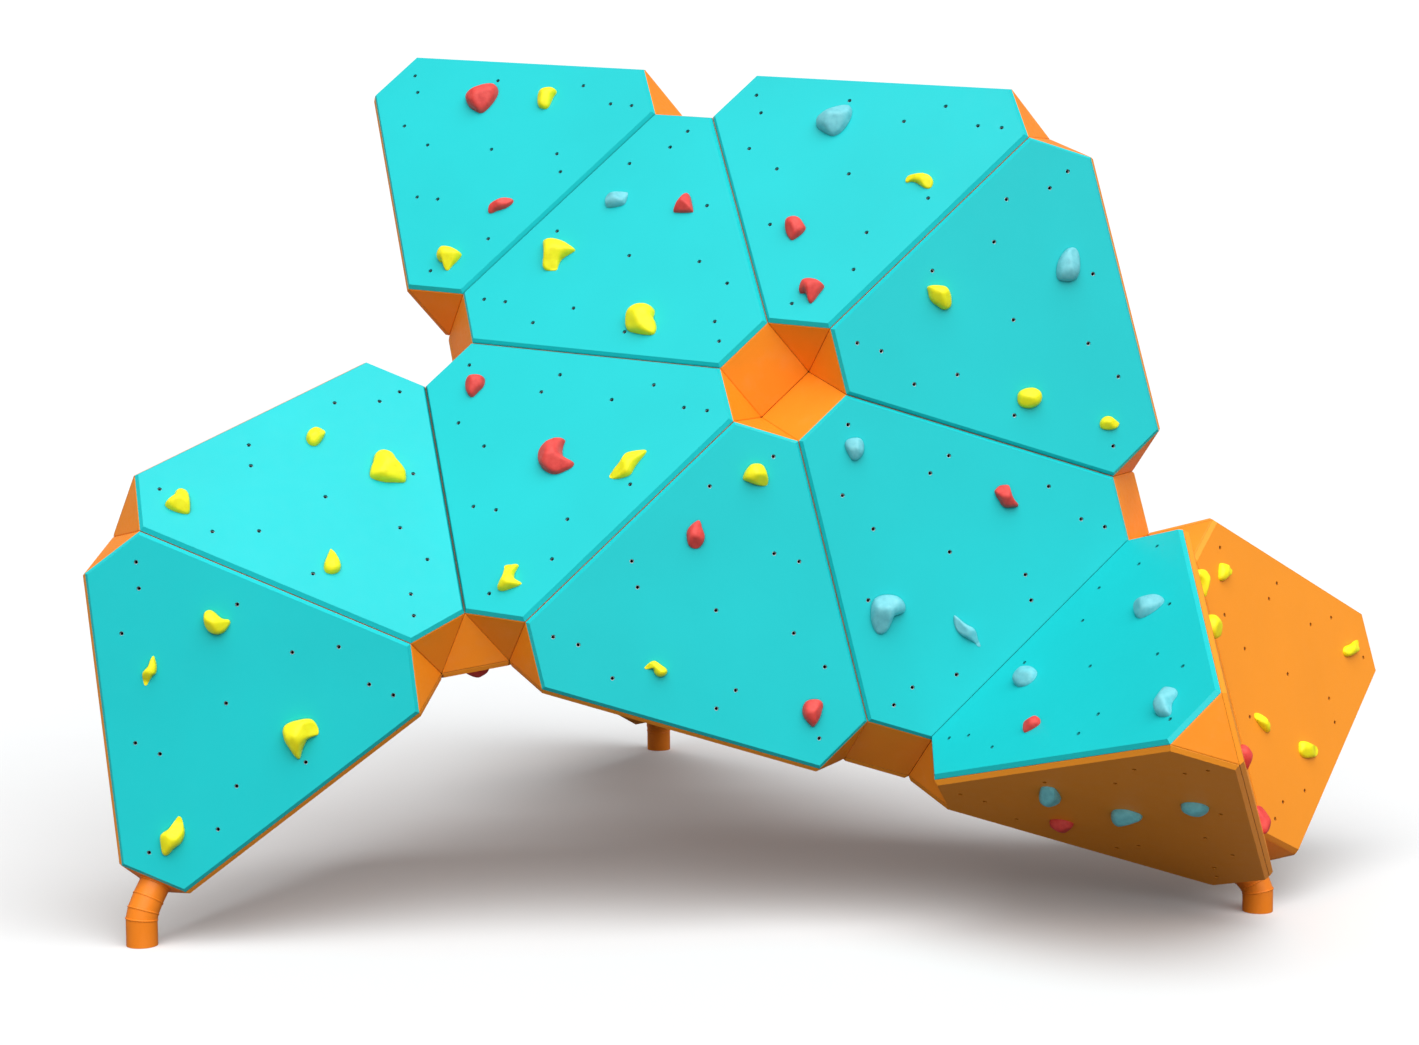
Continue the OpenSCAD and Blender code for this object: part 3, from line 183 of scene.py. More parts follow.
class Material:
    """A Principled material and short calls for the nodes that feed it."""

    def __init__(self, name, rough, metallic=0.0, spec=0.5):
        self.material = bpy.data.materials.new(name)
        self.material.use_nodes = True
        self.tree = self.material.node_tree
        self.bsdf = self.tree.nodes["Principled BSDF"]
        self.bsdf.inputs["Metallic"].default_value = metallic
        self.bsdf.inputs["Roughness"].default_value = rough
        self.bsdf.inputs["Specular IOR Level"].default_value = spec
        self.place = self.new("ShaderNodeTexCoord").outputs["Object"]

    def new(self, kind, **settings):
        node = self.tree.nodes.new(kind)
        for key, value in settings.items():
            setattr(node, key, value)
        return node

    def feed(self, socket, value):
        """Link an output, or set a number or an RGB colour."""
        if isinstance(value, bpy.types.NodeSocket):
            self.tree.links.new(value, socket)
        else:
            socket.default_value = (*value, 1.0) if isinstance(value, tuple) else value

    def mapping(self, scale, rotation):
        node = self.new("ShaderNodeMapping")
        node.inputs["Scale"].default_value = scale
        node.inputs["Rotation"].default_value = rotation
        self.feed(node.inputs["Vector"], self.place)
        return node.outputs["Vector"]

    def noise(self, scale, detail=4.0, rough=0.55, vector=None):
        node = self.new("ShaderNodeTexNoise")
        node.inputs["Scale"].default_value = scale
        node.inputs["Detail"].default_value = detail
        node.inputs["Roughness"].default_value = rough
        self.feed(node.inputs["Vector"], vector or self.place)
        return node.outputs["Fac"]

    def voronoi(self, scale, feature="F1"):
        node = self.new("ShaderNodeTexVoronoi", feature=feature)
        node.inputs["Scale"].default_value = scale
        self.feed(node.inputs["Vector"], self.place)
        return node.outputs["Distance"]

    def ramp(self, factor, stops):
        """Stops are pairs of position and RGB colour."""
        node = self.new("ShaderNodeValToRGB")
        elements = node.color_ramp.elements
        while len(elements) < len(stops):
            elements.new(0.5)
        for i, (position, color) in enumerate(stops):
            elements[i].position = position
            elements[i].color = (*color, 1.0)
        self.feed(node.inputs["Fac"], factor)
        return node.outputs["Color"]

    def remap(self, value, span, to):
        node = self.new("ShaderNodeMapRange")
        for key, number in zip(("From Min", "From Max", "To Min", "To Max"), (*span, *to)):
            node.inputs[key].default_value = number
        self.feed(node.inputs["Value"], value)
        return node.outputs["Result"]

    def math(self, operation, a, b):
        node = self.new("ShaderNodeMath", operation=operation)
        self.feed(node.inputs[0], a)
        self.feed(node.inputs[1], b)
        return node.outputs["Value"]

    def mix(self, factor, a, b):
        node = self.new("ShaderNodeMix", data_type="RGBA")
        # sockets 6 and 7 are the colour pair, output 2 the colour result
        for i, value in ((0, factor), (6, a), (7, b)):
            self.feed(node.inputs[i], value)
        return node.outputs[2]

    def bump(self, height, strength, distance, normal=None):
        node = self.new("ShaderNodeBump")
        node.inputs["Strength"].default_value = strength
        node.inputs["Distance"].default_value = distance
        self.feed(node.inputs["Height"], height)
        if normal is not None:
            self.feed(node.inputs["Normal"], normal)
        return node.outputs["Normal"]

    def paint_gap_shade(self, reach, shade_tint, color, top=0.75):
        """Painted shade: the colour turns to a dark tint in gaps narrower than the reach."""
        node = self.new("ShaderNodeAmbientOcclusion", samples=6)
        node.inputs["Distance"].default_value = reach
        openness = self.remap(node.outputs["AO"], span=(top / 3, top), to=(0.0, 1.0))
        return self.mix(openness, shade_tint, color)

    def finish(self, color, rough=None, normal=None):
        self.feed(self.bsdf.inputs["Base Color"], color)
        if rough is not None:
            self.feed(self.bsdf.inputs["Roughness"], rough)
        if normal is not None:
            self.feed(self.bsdf.inputs["Normal"], normal)
        return self.material


def shade(color, gain):
    return tuple(min(1.0, x * gain) for x in color)


def sheet(name, base, deep):
    """Moulded polyethylene sheet: satin skin with a fine grain, faint clouding
    and a few soft, stretched scuffs."""
    m = Material(name, rough=0.46, spec=0.22)
    color = m.ramp(m.noise(scale=1.7, detail=3.0, rough=0.5),
                   [(0.30, shade(base, gain=0.965)), (0.70, shade(base, gain=1.03))])
    grit = m.noise(scale=620.0, detail=2.0, rough=0.6)
    color = m.mix(m.remap(grit, span=(0.45, 0.75), to=(0.0, 0.10)), color, deep)
    rub = m.noise(scale=1.0, detail=6.0, rough=0.7,
                  vector=m.mapping(scale=(34, 34, 5), rotation=(0.3, 0.2, 0.4)))
    scuff = m.remap(rub, span=(0.63, 0.78), to=(0.0, 1.0))
    patch = m.remap(m.noise(scale=3.1, detail=2.0), span=(0.45, 0.62), to=(0.0, 1.0))
    marks = m.math("MULTIPLY", scuff, patch)
    color = m.mix(m.math("MULTIPLY", marks, b=0.10), color, shade(base, gain=1.25))
    rough = m.remap(m.noise(scale=26.0, detail=5.0, rough=0.6), span=(0.3, 0.7), to=(0.36, 0.47))
    rough = m.math("ADD", rough, m.math("MULTIPLY", marks, b=0.14))
    # painted shade: the sheet darkens in the gaps between panels and round the holds
    color = m.paint_gap_shade(reach=0.012, shade_tint=shade(deep, gain=0.35), color=color)
    grain = m.voronoi(scale=430.0, feature="SMOOTH_F1")
    normal = m.bump(grain, strength=0.16, distance=0.0006)
    normal = m.bump(m.noise(scale=9.0, detail=2.0), strength=0.05, distance=0.004, normal=normal)
    return m.finish(color, rough, normal)


def powder(name, base, deep, chalk=0.05):
    """Powder coat on steel: orange-peel skin, speckle and thin spots."""
    m = Material(name, rough=0.42, spec=0.3)
    color = m.ramp(m.noise(scale=4.2),
                   [(0.3, shade(base, gain=0.95)), (0.7, shade(base, gain=1.04))])
    speck = m.noise(scale=900.0, detail=1.0, rough=0.5)
    color = m.mix(m.remap(speck, span=(0.55, 0.72), to=(0.0, 0.22)), color, deep)
    dust = m.noise(scale=11.0, detail=6.0, rough=0.65)
    color = m.mix(m.remap(dust, span=(0.52, 0.8), to=(0.0, chalk)), color, b=(0.93, 0.72, 0.5))
    # painted shade: the coat darkens in the narrow gaps of the frame
    color = m.paint_gap_shade(reach=0.02, shade_tint=(0.055, 0.050, 0.030), color=color, top=0.36)
    rough = m.remap(m.noise(scale=60.0, rough=0.6), span=(0.3, 0.7), to=(0.33, 0.5))
    peel = m.noise(scale=260.0, detail=2.0, rough=0.5)
    return m.finish(color, rough, m.bump(peel, strength=0.22, distance=0.0008))


def resin(name, base, deep, light):
    """Cast resin hold: sandy grit and slight mottling."""
    m = Material(name, rough=0.55, spec=0.4)
    color = m.ramp(m.noise(scale=38.0, rough=0.6), [(0.28, deep), (0.5, base), (0.78, light)])
    rough = m.remap(m.noise(scale=120.0, detail=3.0), span=(0.3, 0.7), to=(0.42, 0.62))
    sand = m.noise(scale=1100.0, detail=2.0, rough=0.7)
    color = m.mix(m.remap(sand, span=(0.5, 0.75), to=(0.0, 0.16)), color, deep)
    normal = m.bump(sand, strength=0.30, distance=0.0006)
    normal = m.bump(m.noise(scale=70.0, detail=3.0), strength=0.12, distance=0.002,
                    normal=normal)
    return m.finish(color, rough, normal)


def zinc(name):
    """Zinc plate: small spangles with dull patches."""
    m = Material(name, rough=0.35, metallic=1.0)
    color = m.ramp(m.voronoi(scale=320.0), [(0.1, (0.42, 0.43, 0.44)), (0.6, (0.60, 0.61, 0.62))])
    dull = m.remap(m.noise(scale=45.0, detail=5.0), span=(0.5, 0.75), to=(0.0, 0.5))
    color = m.mix(dull, color, b=(0.30, 0.29, 0.28))
    rough = m.remap(m.noise(scale=180.0), span=(0.3, 0.7), to=(0.28, 0.5))
    grain = m.noise(scale=700.0, detail=2.0)
    return m.finish(color, rough, m.bump(grain, strength=0.2, distance=0.0003))


TEAL = sheet("teal_sheet", base=(0.010, 0.575, 0.596), deep=(0.005, 0.40, 0.42))
ORANGE = sheet("orange_sheet", base=(0.960, 0.325, 0.022), deep=(0.74, 0.20, 0.010))
STEEL = powder("frame_powder_coat", base=(0.985, 0.290, 0.013), deep=(0.74, 0.17, 0.005))
FOOT = powder("foot_powder_coat", base=(0.960, 0.250, 0.012), deep=(0.70, 0.14, 0.006),
              chalk=0.03)
ZINC = zinc("zinc_plate")
YELLOW = resin("yellow_resin", base=(0.950, 0.880, 0.004), deep=(0.86, 0.76, 0.003),
               light=(0.98, 0.94, 0.02))
RED = resin("red_resin", base=(0.780, 0.062, 0.052), deep=(0.66, 0.040, 0.036),
            light=(0.84, 0.095, 0.080))
BLUE = resin("blue_resin", base=(0.170, 0.580, 0.650), deep=(0.13, 0.48, 0.55),
             light=(0.23, 0.66, 0.72))

# -------------------------------------------------------------- CAD nodes ---


def add_split(piece, degrees):
    split = piece.modifiers.new("split", "EDGE_SPLIT")
    split.split_angle = math.radians(degrees)


def dress(node, material, bevel=0.0, segments=2):
    """Give a CAD piece its material, rounded edges and clean shading."""
    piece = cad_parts[node]
    piece.data.materials.clear()
    piece.data.materials.append(material)
    piece.data.polygons.foreach_set("use_smooth", [True] * len(piece.data.polygons))
    weld = piece.modifiers.new("weld", "WELD")
    weld.merge_threshold = 1e-5
    if bevel:
        edge = piece.modifiers.new("bevel", "BEVEL")
        edge.width = bevel
        edge.segments = segments
        edge.limit_method = "ANGLE"
        edge.angle_limit = math.radians(28)
        edge.use_clamp_overlap = True
        edge.harden_normals = False
        edge.miter_outer = "MITER_ARC"
    add_split(piece, degrees=32)
    flat = piece.modifiers.new("flat", "WEIGHTED_NORMAL")
    flat.mode = "FACE_AREA"
    flat.weight = 100
    flat.keep_sharp = True


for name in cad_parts:
    if name in ("panel_side_edge", "panel_side_right", "panel_underside") or \
            name.startswith(("rear_panel", "leg_panel")):
        dress(name, ORANGE, bevel=0.0013)
    elif name.startswith("panel_") and name != "panel_screws":
        dress(name, TEAL, bevel=0.0013)
    elif name.startswith("frame_") and name not in ("frame_bolts", "frame_nuts"):
        dress(name, STEEL, bevel=0.0042, segments=3)
    elif name.startswith("foot_tube"):
        dress(name, FOOT, bevel=0.0012)
    elif not name.startswith("holds_"):
        dress(name, ZINC)

# ------------------------------------------------------------ hold tables ---
# Hold outlines as x, y in shares of the hold's size.
SHAPES = [
    [(-.5,-.06), (-.36,.14), (.08,.38), (.32,.42), (.47,.26), (.4,-.04), (.2,-.32),
     (-.02,-.42), (-.28,-.3)],
    [(-.3,-.42), (-.36,.05), (-.12,.38), (.28,.46), (.4,.36), (.24,.12), (.16,-.14), (.05,-.44)],
    [(-.5,-.26), (-.32,.04), (0,.17), (.25,.26), (.5,.28), (.36,.04), (.12,-.12),
     (-.15,-.17), (-.4,-.34)],
    [(-.46,-.08), (-.2,.38), (.1,.46), (.46,.2), (.3,-.12), (.05,-.5), (-.14,-.3),
     (-.2,-.02), (-.36,-.02)],
    [(-.42,.45), (.1,.48), (.5,.15), (.18,-.08), (.06,-.44), (-.15,-.5), (-.4,-.45), (-.38,0)],
    [(.35,.48), (0,.46), (-.32,.2), (-.5,-.2), (-.35,-.42), (0,-.48), (.4,-.48),
     (.5,-.28), (.34,-.04), (.42,.25)],
    [(.2,.5), (.36,.42), (.42,-.4), (.3,-.48), (-.4,-.46), (-.48,-.36), (-.2,-.02), (.04,.32)],
    [(-.45,.28), (.48,.36), (.38,-.12), (.25,-.32), (-.48,-.36), (-.45,0)],
    [(-.5,0), (-.25,.32), (.2,.38), (.46,.2), (.5,-.1), (.36,-.36), (.1,-.24),
     (-.12,-.1), (-.35,-.04)],
    [(-.35,.38), (.1,.48), (.45,.25), (.45,0), (.05,-.48), (-.2,-.44), (-.45,0)],
    [(-.45,.4), (.1,.4), (.38,0), (.45,-.43), (.2,-.45), (-.2,-.28), (-.42,.06)],
    [(.5,0), (.36,.3), (0,.42), (-.36,.3), (-.5,0), (-.36,-.3), (0,-.42), (.36,-.3)],
    [(.1,.5), (.2,.18), (.33,-.12), (.24,-.4), (-.03,-.5), (-.3,-.36), (-.34,-.1), (-.14,.22)],
    [(-.1,.45), (.15,.5), (.3,.35), (.3,-.4), (.1,-.5), (-.25,-.47), (-.35,-.3), (-.26,.05)],
    [(-.48,.08), (-.3,.42), (.08,.5), (.42,.26), (.48,0), (.3,-.1), (.12,-.12),
     (.2,-.3), (0,-.5), (-.3,-.46), (-.48,-.2)],
    [(.25,.48), (-.1,.38), (-.45,.1), (-.5,-.18), (-.25,-.46), (.1,-.48), (.48,-.32),
     (.42,-.18), (.18,-.08), (.14,.12), (.3,.38)],
    [(-.5,-.42), (-.22,-.1), (-.06,.18), (.16,.32), (.5,.42), (.3,.12), (.18,-.14),
     (-.06,-.32), (-.4,-.44)],
    [(-.44,.3), (-.1,.48), (.14,.32), (.2,.02), (.48,-.36), (.1,-.48), (-.2,-.3), (-.3,.04)],
    [(-.48,-.32), (-.4,.1), (-.1,.43), (.3,.43), (.48,0), (.48,-.33), (.3,-.46), (-.2,-.38)],
    [(-.24,.48), (.32,.48), (.18,.14), (.22,-.14), (.46,-.34), (.2,-.46), (-.38,-.48),
     (-.46,-.38), (-.24,-.04), (-.22,.28)],
    [(-.5,-.15), (-.22,.1), (-.1,.38), (.15,.48), (.4,.33), (.46,-.2), (.38,-.46),
     (0,-.38), (-.4,-.3)],
    [(-.3,.43), (0,.47), (.22,.3), (.26,.14), (.48,-.15), (.48,-.4), (.1,-.46),
     (-.45,-.38), (-.45,-.1)],
    [(.48,.4), (.1,.42), (-.34,.24), (-.48,-.1), (-.25,-.42), (.12,-.34), (.35,0)],
    [(-.45,.43), (-.22,.43), (.08,.18), (.42,.12), (.48,-.05), (.3,-.38), (-.1,-.48), (-.4,-.2)],
    [(-.45,.23), (-.3,.4), (.2,.48), (.43,.3), (.48,.05), (.25,0), (.14,-.22), (0,-.5),
     (-.16,-.42), (-.36,-.05)],
    [(.2,.5), (.3,.12), (.18,-.14), (-.08,-.5), (-.28,-.22), (-.2,.06), (-.02,.24)]]
# Colour numbers of the tables: 0 yellow, 1 red, 2 blue.
COLORS = (("yellow", YELLOW), ("red", RED), ("blue", BLUE))
# Front holds drawn as a visitor in front sees them, in mm:
# panel, grid place, colour, height, outline (to the right, up).
DRAWN = [
    ("a", 9, 1, 56, [(-60,7), (-57,-11), (-46,-29), (-23,-44), (-4,-50), (16,-37), (41,-9),
     (56,18), (57,37), (48,50), (30,53), (9,46), (-23,28), (-51,13)]),
    ("a", 8, 0, 39, [(-27,18), (-29,0), (-27,-16), (-15,-23), (0,-24), (10,-16), (17,-2),
     (26,18), (37,33), (37,42), (24,47), (5,45), (-13,37), (-24,25)]),
    ("a", 6, 1, 29, [(-54,-18), (-52,-26), (-41,-26), (-25,-18), (-3,-12), (15,-4), (31,9),
     (35,18), (29,23), (11,23), (-11,18), (-34,11), (-47,0)]),
    ("a", 2, 0, 46, [(-39,-11), (-43,-2), (-37,16), (-26,30), (-11,32), (11,29), (34,18),
     (42,10), (29,-9), (11,-27), (-4,-44), (-15,-44), (-21,-31), (-25,-16), (-33,-16)]),
    ("b", 4, 2, 32, [(-39,-7), (-33,-25), (4,-22), (27,-14), (35,4), (39,25), (28,28),
     (0,23), (-26,19), (-37,6)]),
    ("b", 9, 1, 38, [(-42,-18), (-39,-23), (-3,-24), (23,-22), (25,-16), (20,12), (14,34),
     (6,40), (-3,34), (-17,17), (-34,-7)]),
    ("b", 5, 0, 48, [(-64,38), (-29,42), (6,34), (30,21), (45,9), (32,-1), (10,-14),
     (-5,-27), (-14,-45), (-20,-60), (-38,-63), (-59,-61), (-67,-51), (-63,-31), (-62,-5),
     (-65,21)]),
    ("b", 7, 0, 56, [(-65,-18), (-63,-1), (-53,20), (-34,35), (-10,41), (15,39), (30,29),
     (31,16), (27,1), (34,-14), (37,-35), (28,-54), (3,-56), (-31,-51), (-57,-43), (-65,-31)]),
    ("c", 9, 2, 56, [(-59,-10), (-54,-26), (-39,-38), (-17,-49), (0,-53), (21,-43), (43,-19),
     (59,11), (63,37), (54,50), (39,50), (21,42), (-4,28), (-31,14), (-52,3)]),
    ("c", 7, 0, 26, [(-61,-4), (-58,7), (-46,15), (-20,18), (5,18), (22,13), (32,0),
     (30,-17), (20,-27), (5,-26), (-7,-19), (-24,-8), (-41,-4), (-54,-8)]),
    ("c", 5, 1, 41, [(-31,7), (-30,24), (-20,34), (-3,37), (19,33), (31,17), (37,3),
     (25,-14), (6,-29), (-11,-37), (-24,-23), (-30,-8)]),
    ("c", 2, 1, 46, [(-41,-12), (-41,-2), (-33,15), (-23,27), (-2,30), (23,23), (40,13),
     (38,3), (23,-16), (9,-35), (-4,-47), (-12,-39), (-16,-23), (-23,-12), (-33,-14)]),
    ("d", 9, 2, 45, [(-38,-34), (-39,-17), (-34,13), (-21,38), (-4,57), (13,62), (27,57),
     (36,38), (37,8), (36,-17), (30,-38), (13,-50), (-13,-51), (-32,-46)]),
    ("d", 5, 0, 47, [(-33,31), (-20,37), (1,37), (22,34), (34,25), (42,8), (46,-13),
     (45,-31), (34,-42), (17,-42), (1,-31), (-16,-19), (-26,-4), (-30,15)]),
    ("d", 7, 0, 41, [(-49,0), (-46,17), (-32,29), (-11,35), (10,33), (27,21), (31,4),
     (27,-13), (14,-26), (-7,-33), (-30,-30), (-45,-19)]),
    ("d", 3, 0, 27, [(-25,-10), (-23,0), (-16,10), (-4,17), (11,16), (25,6), (38,-4),
     (40,-10), (30,-23), (11,-28), (-10,-27), (-22,-21)]),
    ("e", 1, 2, 37, [(-27,20), (-20,34), (0,41), (20,40), (32,28), (35,7), (30,-15),
     (18,-29), (6,-34), (-7,-28), (-16,-11), (-23,3)]),
    ("e", 8, 1, 46, [(-35,16), (-30,26), (-18,36), (-1,39), (11,37), (15,20), (20,3),
     (30,-13), (43,-26), (40,-34), (26,-36), (5,-37), (-10,-30), (-20,-13), (-28,-1)]),
    ("e", 5, 2, 56, [(-69,-13), (-66,12), (-56,32), (-36,43), (-7,46), (18,40), (35,26),
     (43,7), (40,-12), (23,-20), (5,-26), (-2,-43), (-12,-66), (-26,-81), (-46,-82),
     (-59,-66), (-67,-40)]),
    ("e", 6, 2, 30, [(-49,51), (-37,46), (-24,34), (-8,22), (13,11), (23,-3), (29,-24),
     (40,-49), (31,-51), (17,-38), (0,-28), (-21,-16), (-37,-1), (-47,22)]),
    ("f", 1, 0, 44, [(-35,-16), (-31,3), (-20,21), (-6,33), (16,35), (31,27), (41,7),
     (47,-18), (43,-36), (25,-38), (0,-32), (-20,-24)]),
    ("f", 4, 1, 35, [(9,34), (16,27), (20,10), (26,-6), (29,-22), (23,-42), (9,-57),
     (-7,-58), (-22,-49), (-28,-30), (-29,-6), (-22,10), (-7,25)]),
    ("f", 6, 0, 32, [(-40,0), (-33,9), (-19,20), (-6,23), (4,17), (18,7), (30,-2),
     (34,-12), (27,-24), (14,-29), (2,-26), (-8,-16), (-12,-2), (-27,-4), (-37,-4)]),
    ("f", 3, 1, 40, [(-34,7), (-30,27), (-18,41), (3,46), (23,43), (33,29), (29,7),
     (21,-18), (10,-36), (0,-45), (-12,-34), (-26,-18), (-32,-6)]),
    ("g", 2, 1, 39, [(-26,9), (-19,24), (-4,34), (17,36), (34,32), (38,19), (32,0),
     (15,-17), (-2,-34), (-15,-32), (-24,-17), (-27,-4)]),
    ("g", 0, 1, 56, [(-58,0), (-55,17), (-41,33), (-20,48), (1,60), (20,63), (30,58),
     (24,42), (20,21), (24,4), (38,-6), (55,-13), (59,-19), (51,-31), (30,-42), (5,-52),
     (-20,-51), (-43,-37), (-55,-19)]),
    ("g", 9, 0, 34, [(-59,-35), (-54,-43), (-40,-45), (-15,-41), (10,-31), (24,-8), (35,8),
     (51,27), (63,43), (61,50), (47,50), (18,45), (-3,37), (-13,20), (-23,2), (-44,-18)]),
    ("g", 3, 0, 38, [(-18,37), (-12,43), (9,45), (29,43), (25,33), (15,14), (16,-2),
     (29,-10), (39,-16), (29,-24), (4,-33), (-20,-41), (-36,-39), (-38,-31), (-28,-18),
     (-20,0), (-18,20)]),
    ("h", 2, 0, 44, [(-56,-7), (-49,3), (-37,11), (-24,20), (-23,32), (-12,38), (4,38),
     (18,30), (24,11), (26,-13), (24,-33), (8,-36), (-20,-29), (-43,-19)]),
    ("h", 4, 0, 34, [(-30,-13), (-29,1), (-18,15), (1,21), (24,20), (34,12), (30,-1),
     (20,-18), (7,-32), (-7,-35), (-22,-28)]),
    ("h", 9, 0, 56, [(-61,-26), (-59,-5), (-51,16), (-47,37), (-32,50), (-13,49), (10,41),
     (22,29), (27,14), (44,-3), (57,-18), (60,-39), (54,-49), (27,-49), (-7,-48),
     (-36,-42), (-55,-34)]),
    ("h", 7, 0, 32, [(-10,53), (-2,44), (9,27), (19,7), (22,-9), (14,-23), (-2,-29),
     (-22,-27), (-32,-15), (-32,3), (-24,24), (-16,44)]),
    ("i", 9, 0, 47, [(-37,16), (-32,29), (-18,34), (-2,26), (12,13), (26,5), (42,3),
     (48,-6), (40,-22), (26,-38), (6,-45), (-16,-38), (-30,-22), (-36,-2)]),
    ("i", 4, 0, 26, [(13,50), (20,35), (24,14), (21,-6), (11,-14), (1,-30), (-9,-46),
     (-17,-42), (-21,-22), (-21,-6), (-13,6), (-3,16), (3,35)]),
    ("i", 7, 0, 56, [(-64,14), (-59,31), (-42,42), (-19,49), (10,54), (30,51), (44,35),
     (51,16), (48,2), (34,-3), (16,-12), (6,-28), (-3,-50), (-8,-70), (-14,-76), (-26,-66),
     (-42,-42), (-57,-18), (-63,3)]),
    ("i", 2, 0, 40, [(26,67), (37,59), (42,39), (46,16), (41,-6), (31,-22), (10,-38),
     (-6,-56), (-18,-59), (-26,-50), (-30,-26), (-32,3), (-22,16), (-6,26), (10,47)]),
    ("l", 1, 0, 26, [(-17,-19), (-15,28), (-4,31), (17,20), (30,7), (21,-6), (6,-19), (-4,-28)]),
    ("l", 3, 0, 26, [(-21,-2), (-15,12), (5,21), (19,32), (32,36), (35,21), (32,0),
     (19,-13), (1,-23), (-13,-22), (-19,-13)]),
    ("l", 5, 0, 24, [(-26,41), (-17,45), (-5,37), (10,20), (22,3), (25,-12), (19,-22),
     (6,-14), (-11,7), (-24,26)]),
    ("l", 6, 0, 27, [(-17,-10), (-19,11), (-17,26), (-6,31), (16,22), (40,14), (48,-2),
     (42,-21), (20,-28), (-2,-26)])]
# Other front holds: panel, grid place, shape, size in mm, colour.
FRONT_HOLDS = [
    ("j", 7, 0, 112, 2), ("j", 9, 11, 96, 2), ("j", 2, 17, 112, 2), ("j", 4, 9, 66, 1),
    ("k", 9, 13, 106, 2), ("k", 4, 9, 84, 1), ("k", 0, 14, 104, 2), ("k", 7, 11, 88, 2),
    ("n", 1, 4, 90, 0), ("n", 4, 11, 96, 0), ("n", 6, 9, 80, 1), ("n", 3, 13, 92, 1)]
# Grid places of the three holds on a rear panel, taken in turn.
REAR_GRID = ((1, 5, 8), (2, 4, 7), (3, 6, 9), (0, 1, 6))

# The visitor's eye and the axes of the sight.
VISITOR = np.array([0.948, -8.877, 2.239])
AHEAD = unit(np.array([0.1009, 0.9899, -0.0998]))
RIGHT = unit(np.cross(AHEAD, [0.016, 0.0987, 0.995]))
ABOVE = np.cross(RIGHT, AHEAD)
SEEN_LEVEL = 0.45   # share of the height at which an outline is drawn


def seat(panel, place):
    """Origin of a hold on the outside of its panel, with the panel's axes."""
    mid, x, y, normal = face_frame(panel)
    return mid + x * GRID[place][0] + y * GRID[place][1] + normal * PANEL_T, x, y, normal


def laid(panel, place, height, outline):
    """A drawn outline laid along the line of sight onto its panel."""
    origin, x, y, normal = seat(panel, place)
    sight = unit(origin - VISITOR)
    points = []
    for across, up in outline:
        v = ((across / 1000 - SEEN_LEVEL * height * (normal @ RIGHT)) * RIGHT
             + (up / 1000 - SEEN_LEVEL * height * (normal @ ABOVE)) * ABOVE)
        v = v - sight * ((normal @ v) / (normal @ sight))
        points.append((v @ x, v @ y))
    return np.array(points)


# --------------------------------------------------------------- outlines ---


def spline(points, steps):
    """Closed Catmull-Rom curve through the points."""
    p = np.array(points, float)
    n = len(p)
    curve = []
    for i in range(n):
        a, b, c, d = p[i - 1], p[i], p[(i + 1) % n], p[(i + 2) % n]
        for j in range(steps):
            t = j / steps
            curve.append(0.5 * (2 * b + (c - a) * t + (2 * a - 5 * b + 4 * c - d) * t * t
                                + (3 * b - a - 3 * c + d) * t ** 3))
    return np.array(curve)


def even(poly, gap):
    """The closed outline resampled at about the given spacing."""
    closed = np.vstack([poly, poly[:1]])
    lengths = np.linalg.norm(np.diff(closed, axis=0), axis=1)
    run = np.concatenate([[0], np.cumsum(lengths)])
    count = max(24, int(round(run[-1] / gap)))
    at = np.linspace(0, run[-1], count, endpoint=False)
    return np.stack([np.interp(at, run, closed[:, k]) for k in (0, 1)], axis=1)


def inside(poly, points):
    x, y = points[:, 0], points[:, 1]
    hit = np.zeros(len(points), bool)
    for (ax, ay), (bx, by) in zip(poly, np.roll(poly, -1, axis=0)):
        spans = (ay > y) != (by > y)
        # level edges divide by zero but are masked out by spans
        with np.errstate(divide="ignore", invalid="ignore"):
            crossing = (bx - ax) * (y - ay) / (by - ay) + ax
        hit ^= spans & (x < crossing)
    return hit


def edge_distance(poly, points):
    best = np.full(len(points), 1e9)
    for a, ab in zip(poly, np.roll(poly, -1, axis=0) - poly):
        t = np.clip(((points - a) @ ab) / (ab @ ab), 0, 1)
        best = np.minimum(best, np.linalg.norm(points - (a + t[:, None] * ab), axis=1))
    return best


def loop_edges(count, start=0):
    return [(start + i, start + (i + 1) % count) for i in range(count)]


# ------------------------------------------------------------------ holds ---
FRONT_GAP, REAR_GAP = 0.0042, 0.0056          # mesh spacing
RIM_ROWS = (0.0006, 0.0018, 0.0038, 0.0066)   # depths of the point rows along the rim
ON_RIM = 1e-6
# Screw pocket: radii of head and bore, levels of seat and roof, sides.
HEAD, BORE, SEAT_Z, HEAD_TOP, TURNS = 0.0083, 0.0055, 0.010, 0.0165, 20
# Cover over the pocket: outer reach, width of its slope, skin above the roof.
COVER_REACH, COVER_SLOPE, COVER_SKIN = 0.021, 0.0105, 0.0022
# Facets: turn from the lean, steepness, level in heights.
FACETS = ((0.0, 0.50, 1.04), (2.2, 0.85, 1.16), (-2.0, 0.70, 1.12))


def soft_min(a, b, k):
    w = np.clip(0.5 + 0.5 * (b - a) / k, 0, 1)
    return b * (1 - w) + a * w - k * w * (1 - w)


def signed_areas(co, tri):
    a, b, c = co[tri[:, 0]], co[tri[:, 1]], co[tri[:, 2]]
    return 0.5 * ((b[:, 0] - a[:, 0]) * (c[:, 1] - a[:, 1])
                  - (c[:, 0] - a[:, 0]) * (b[:, 1] - a[:, 1]))


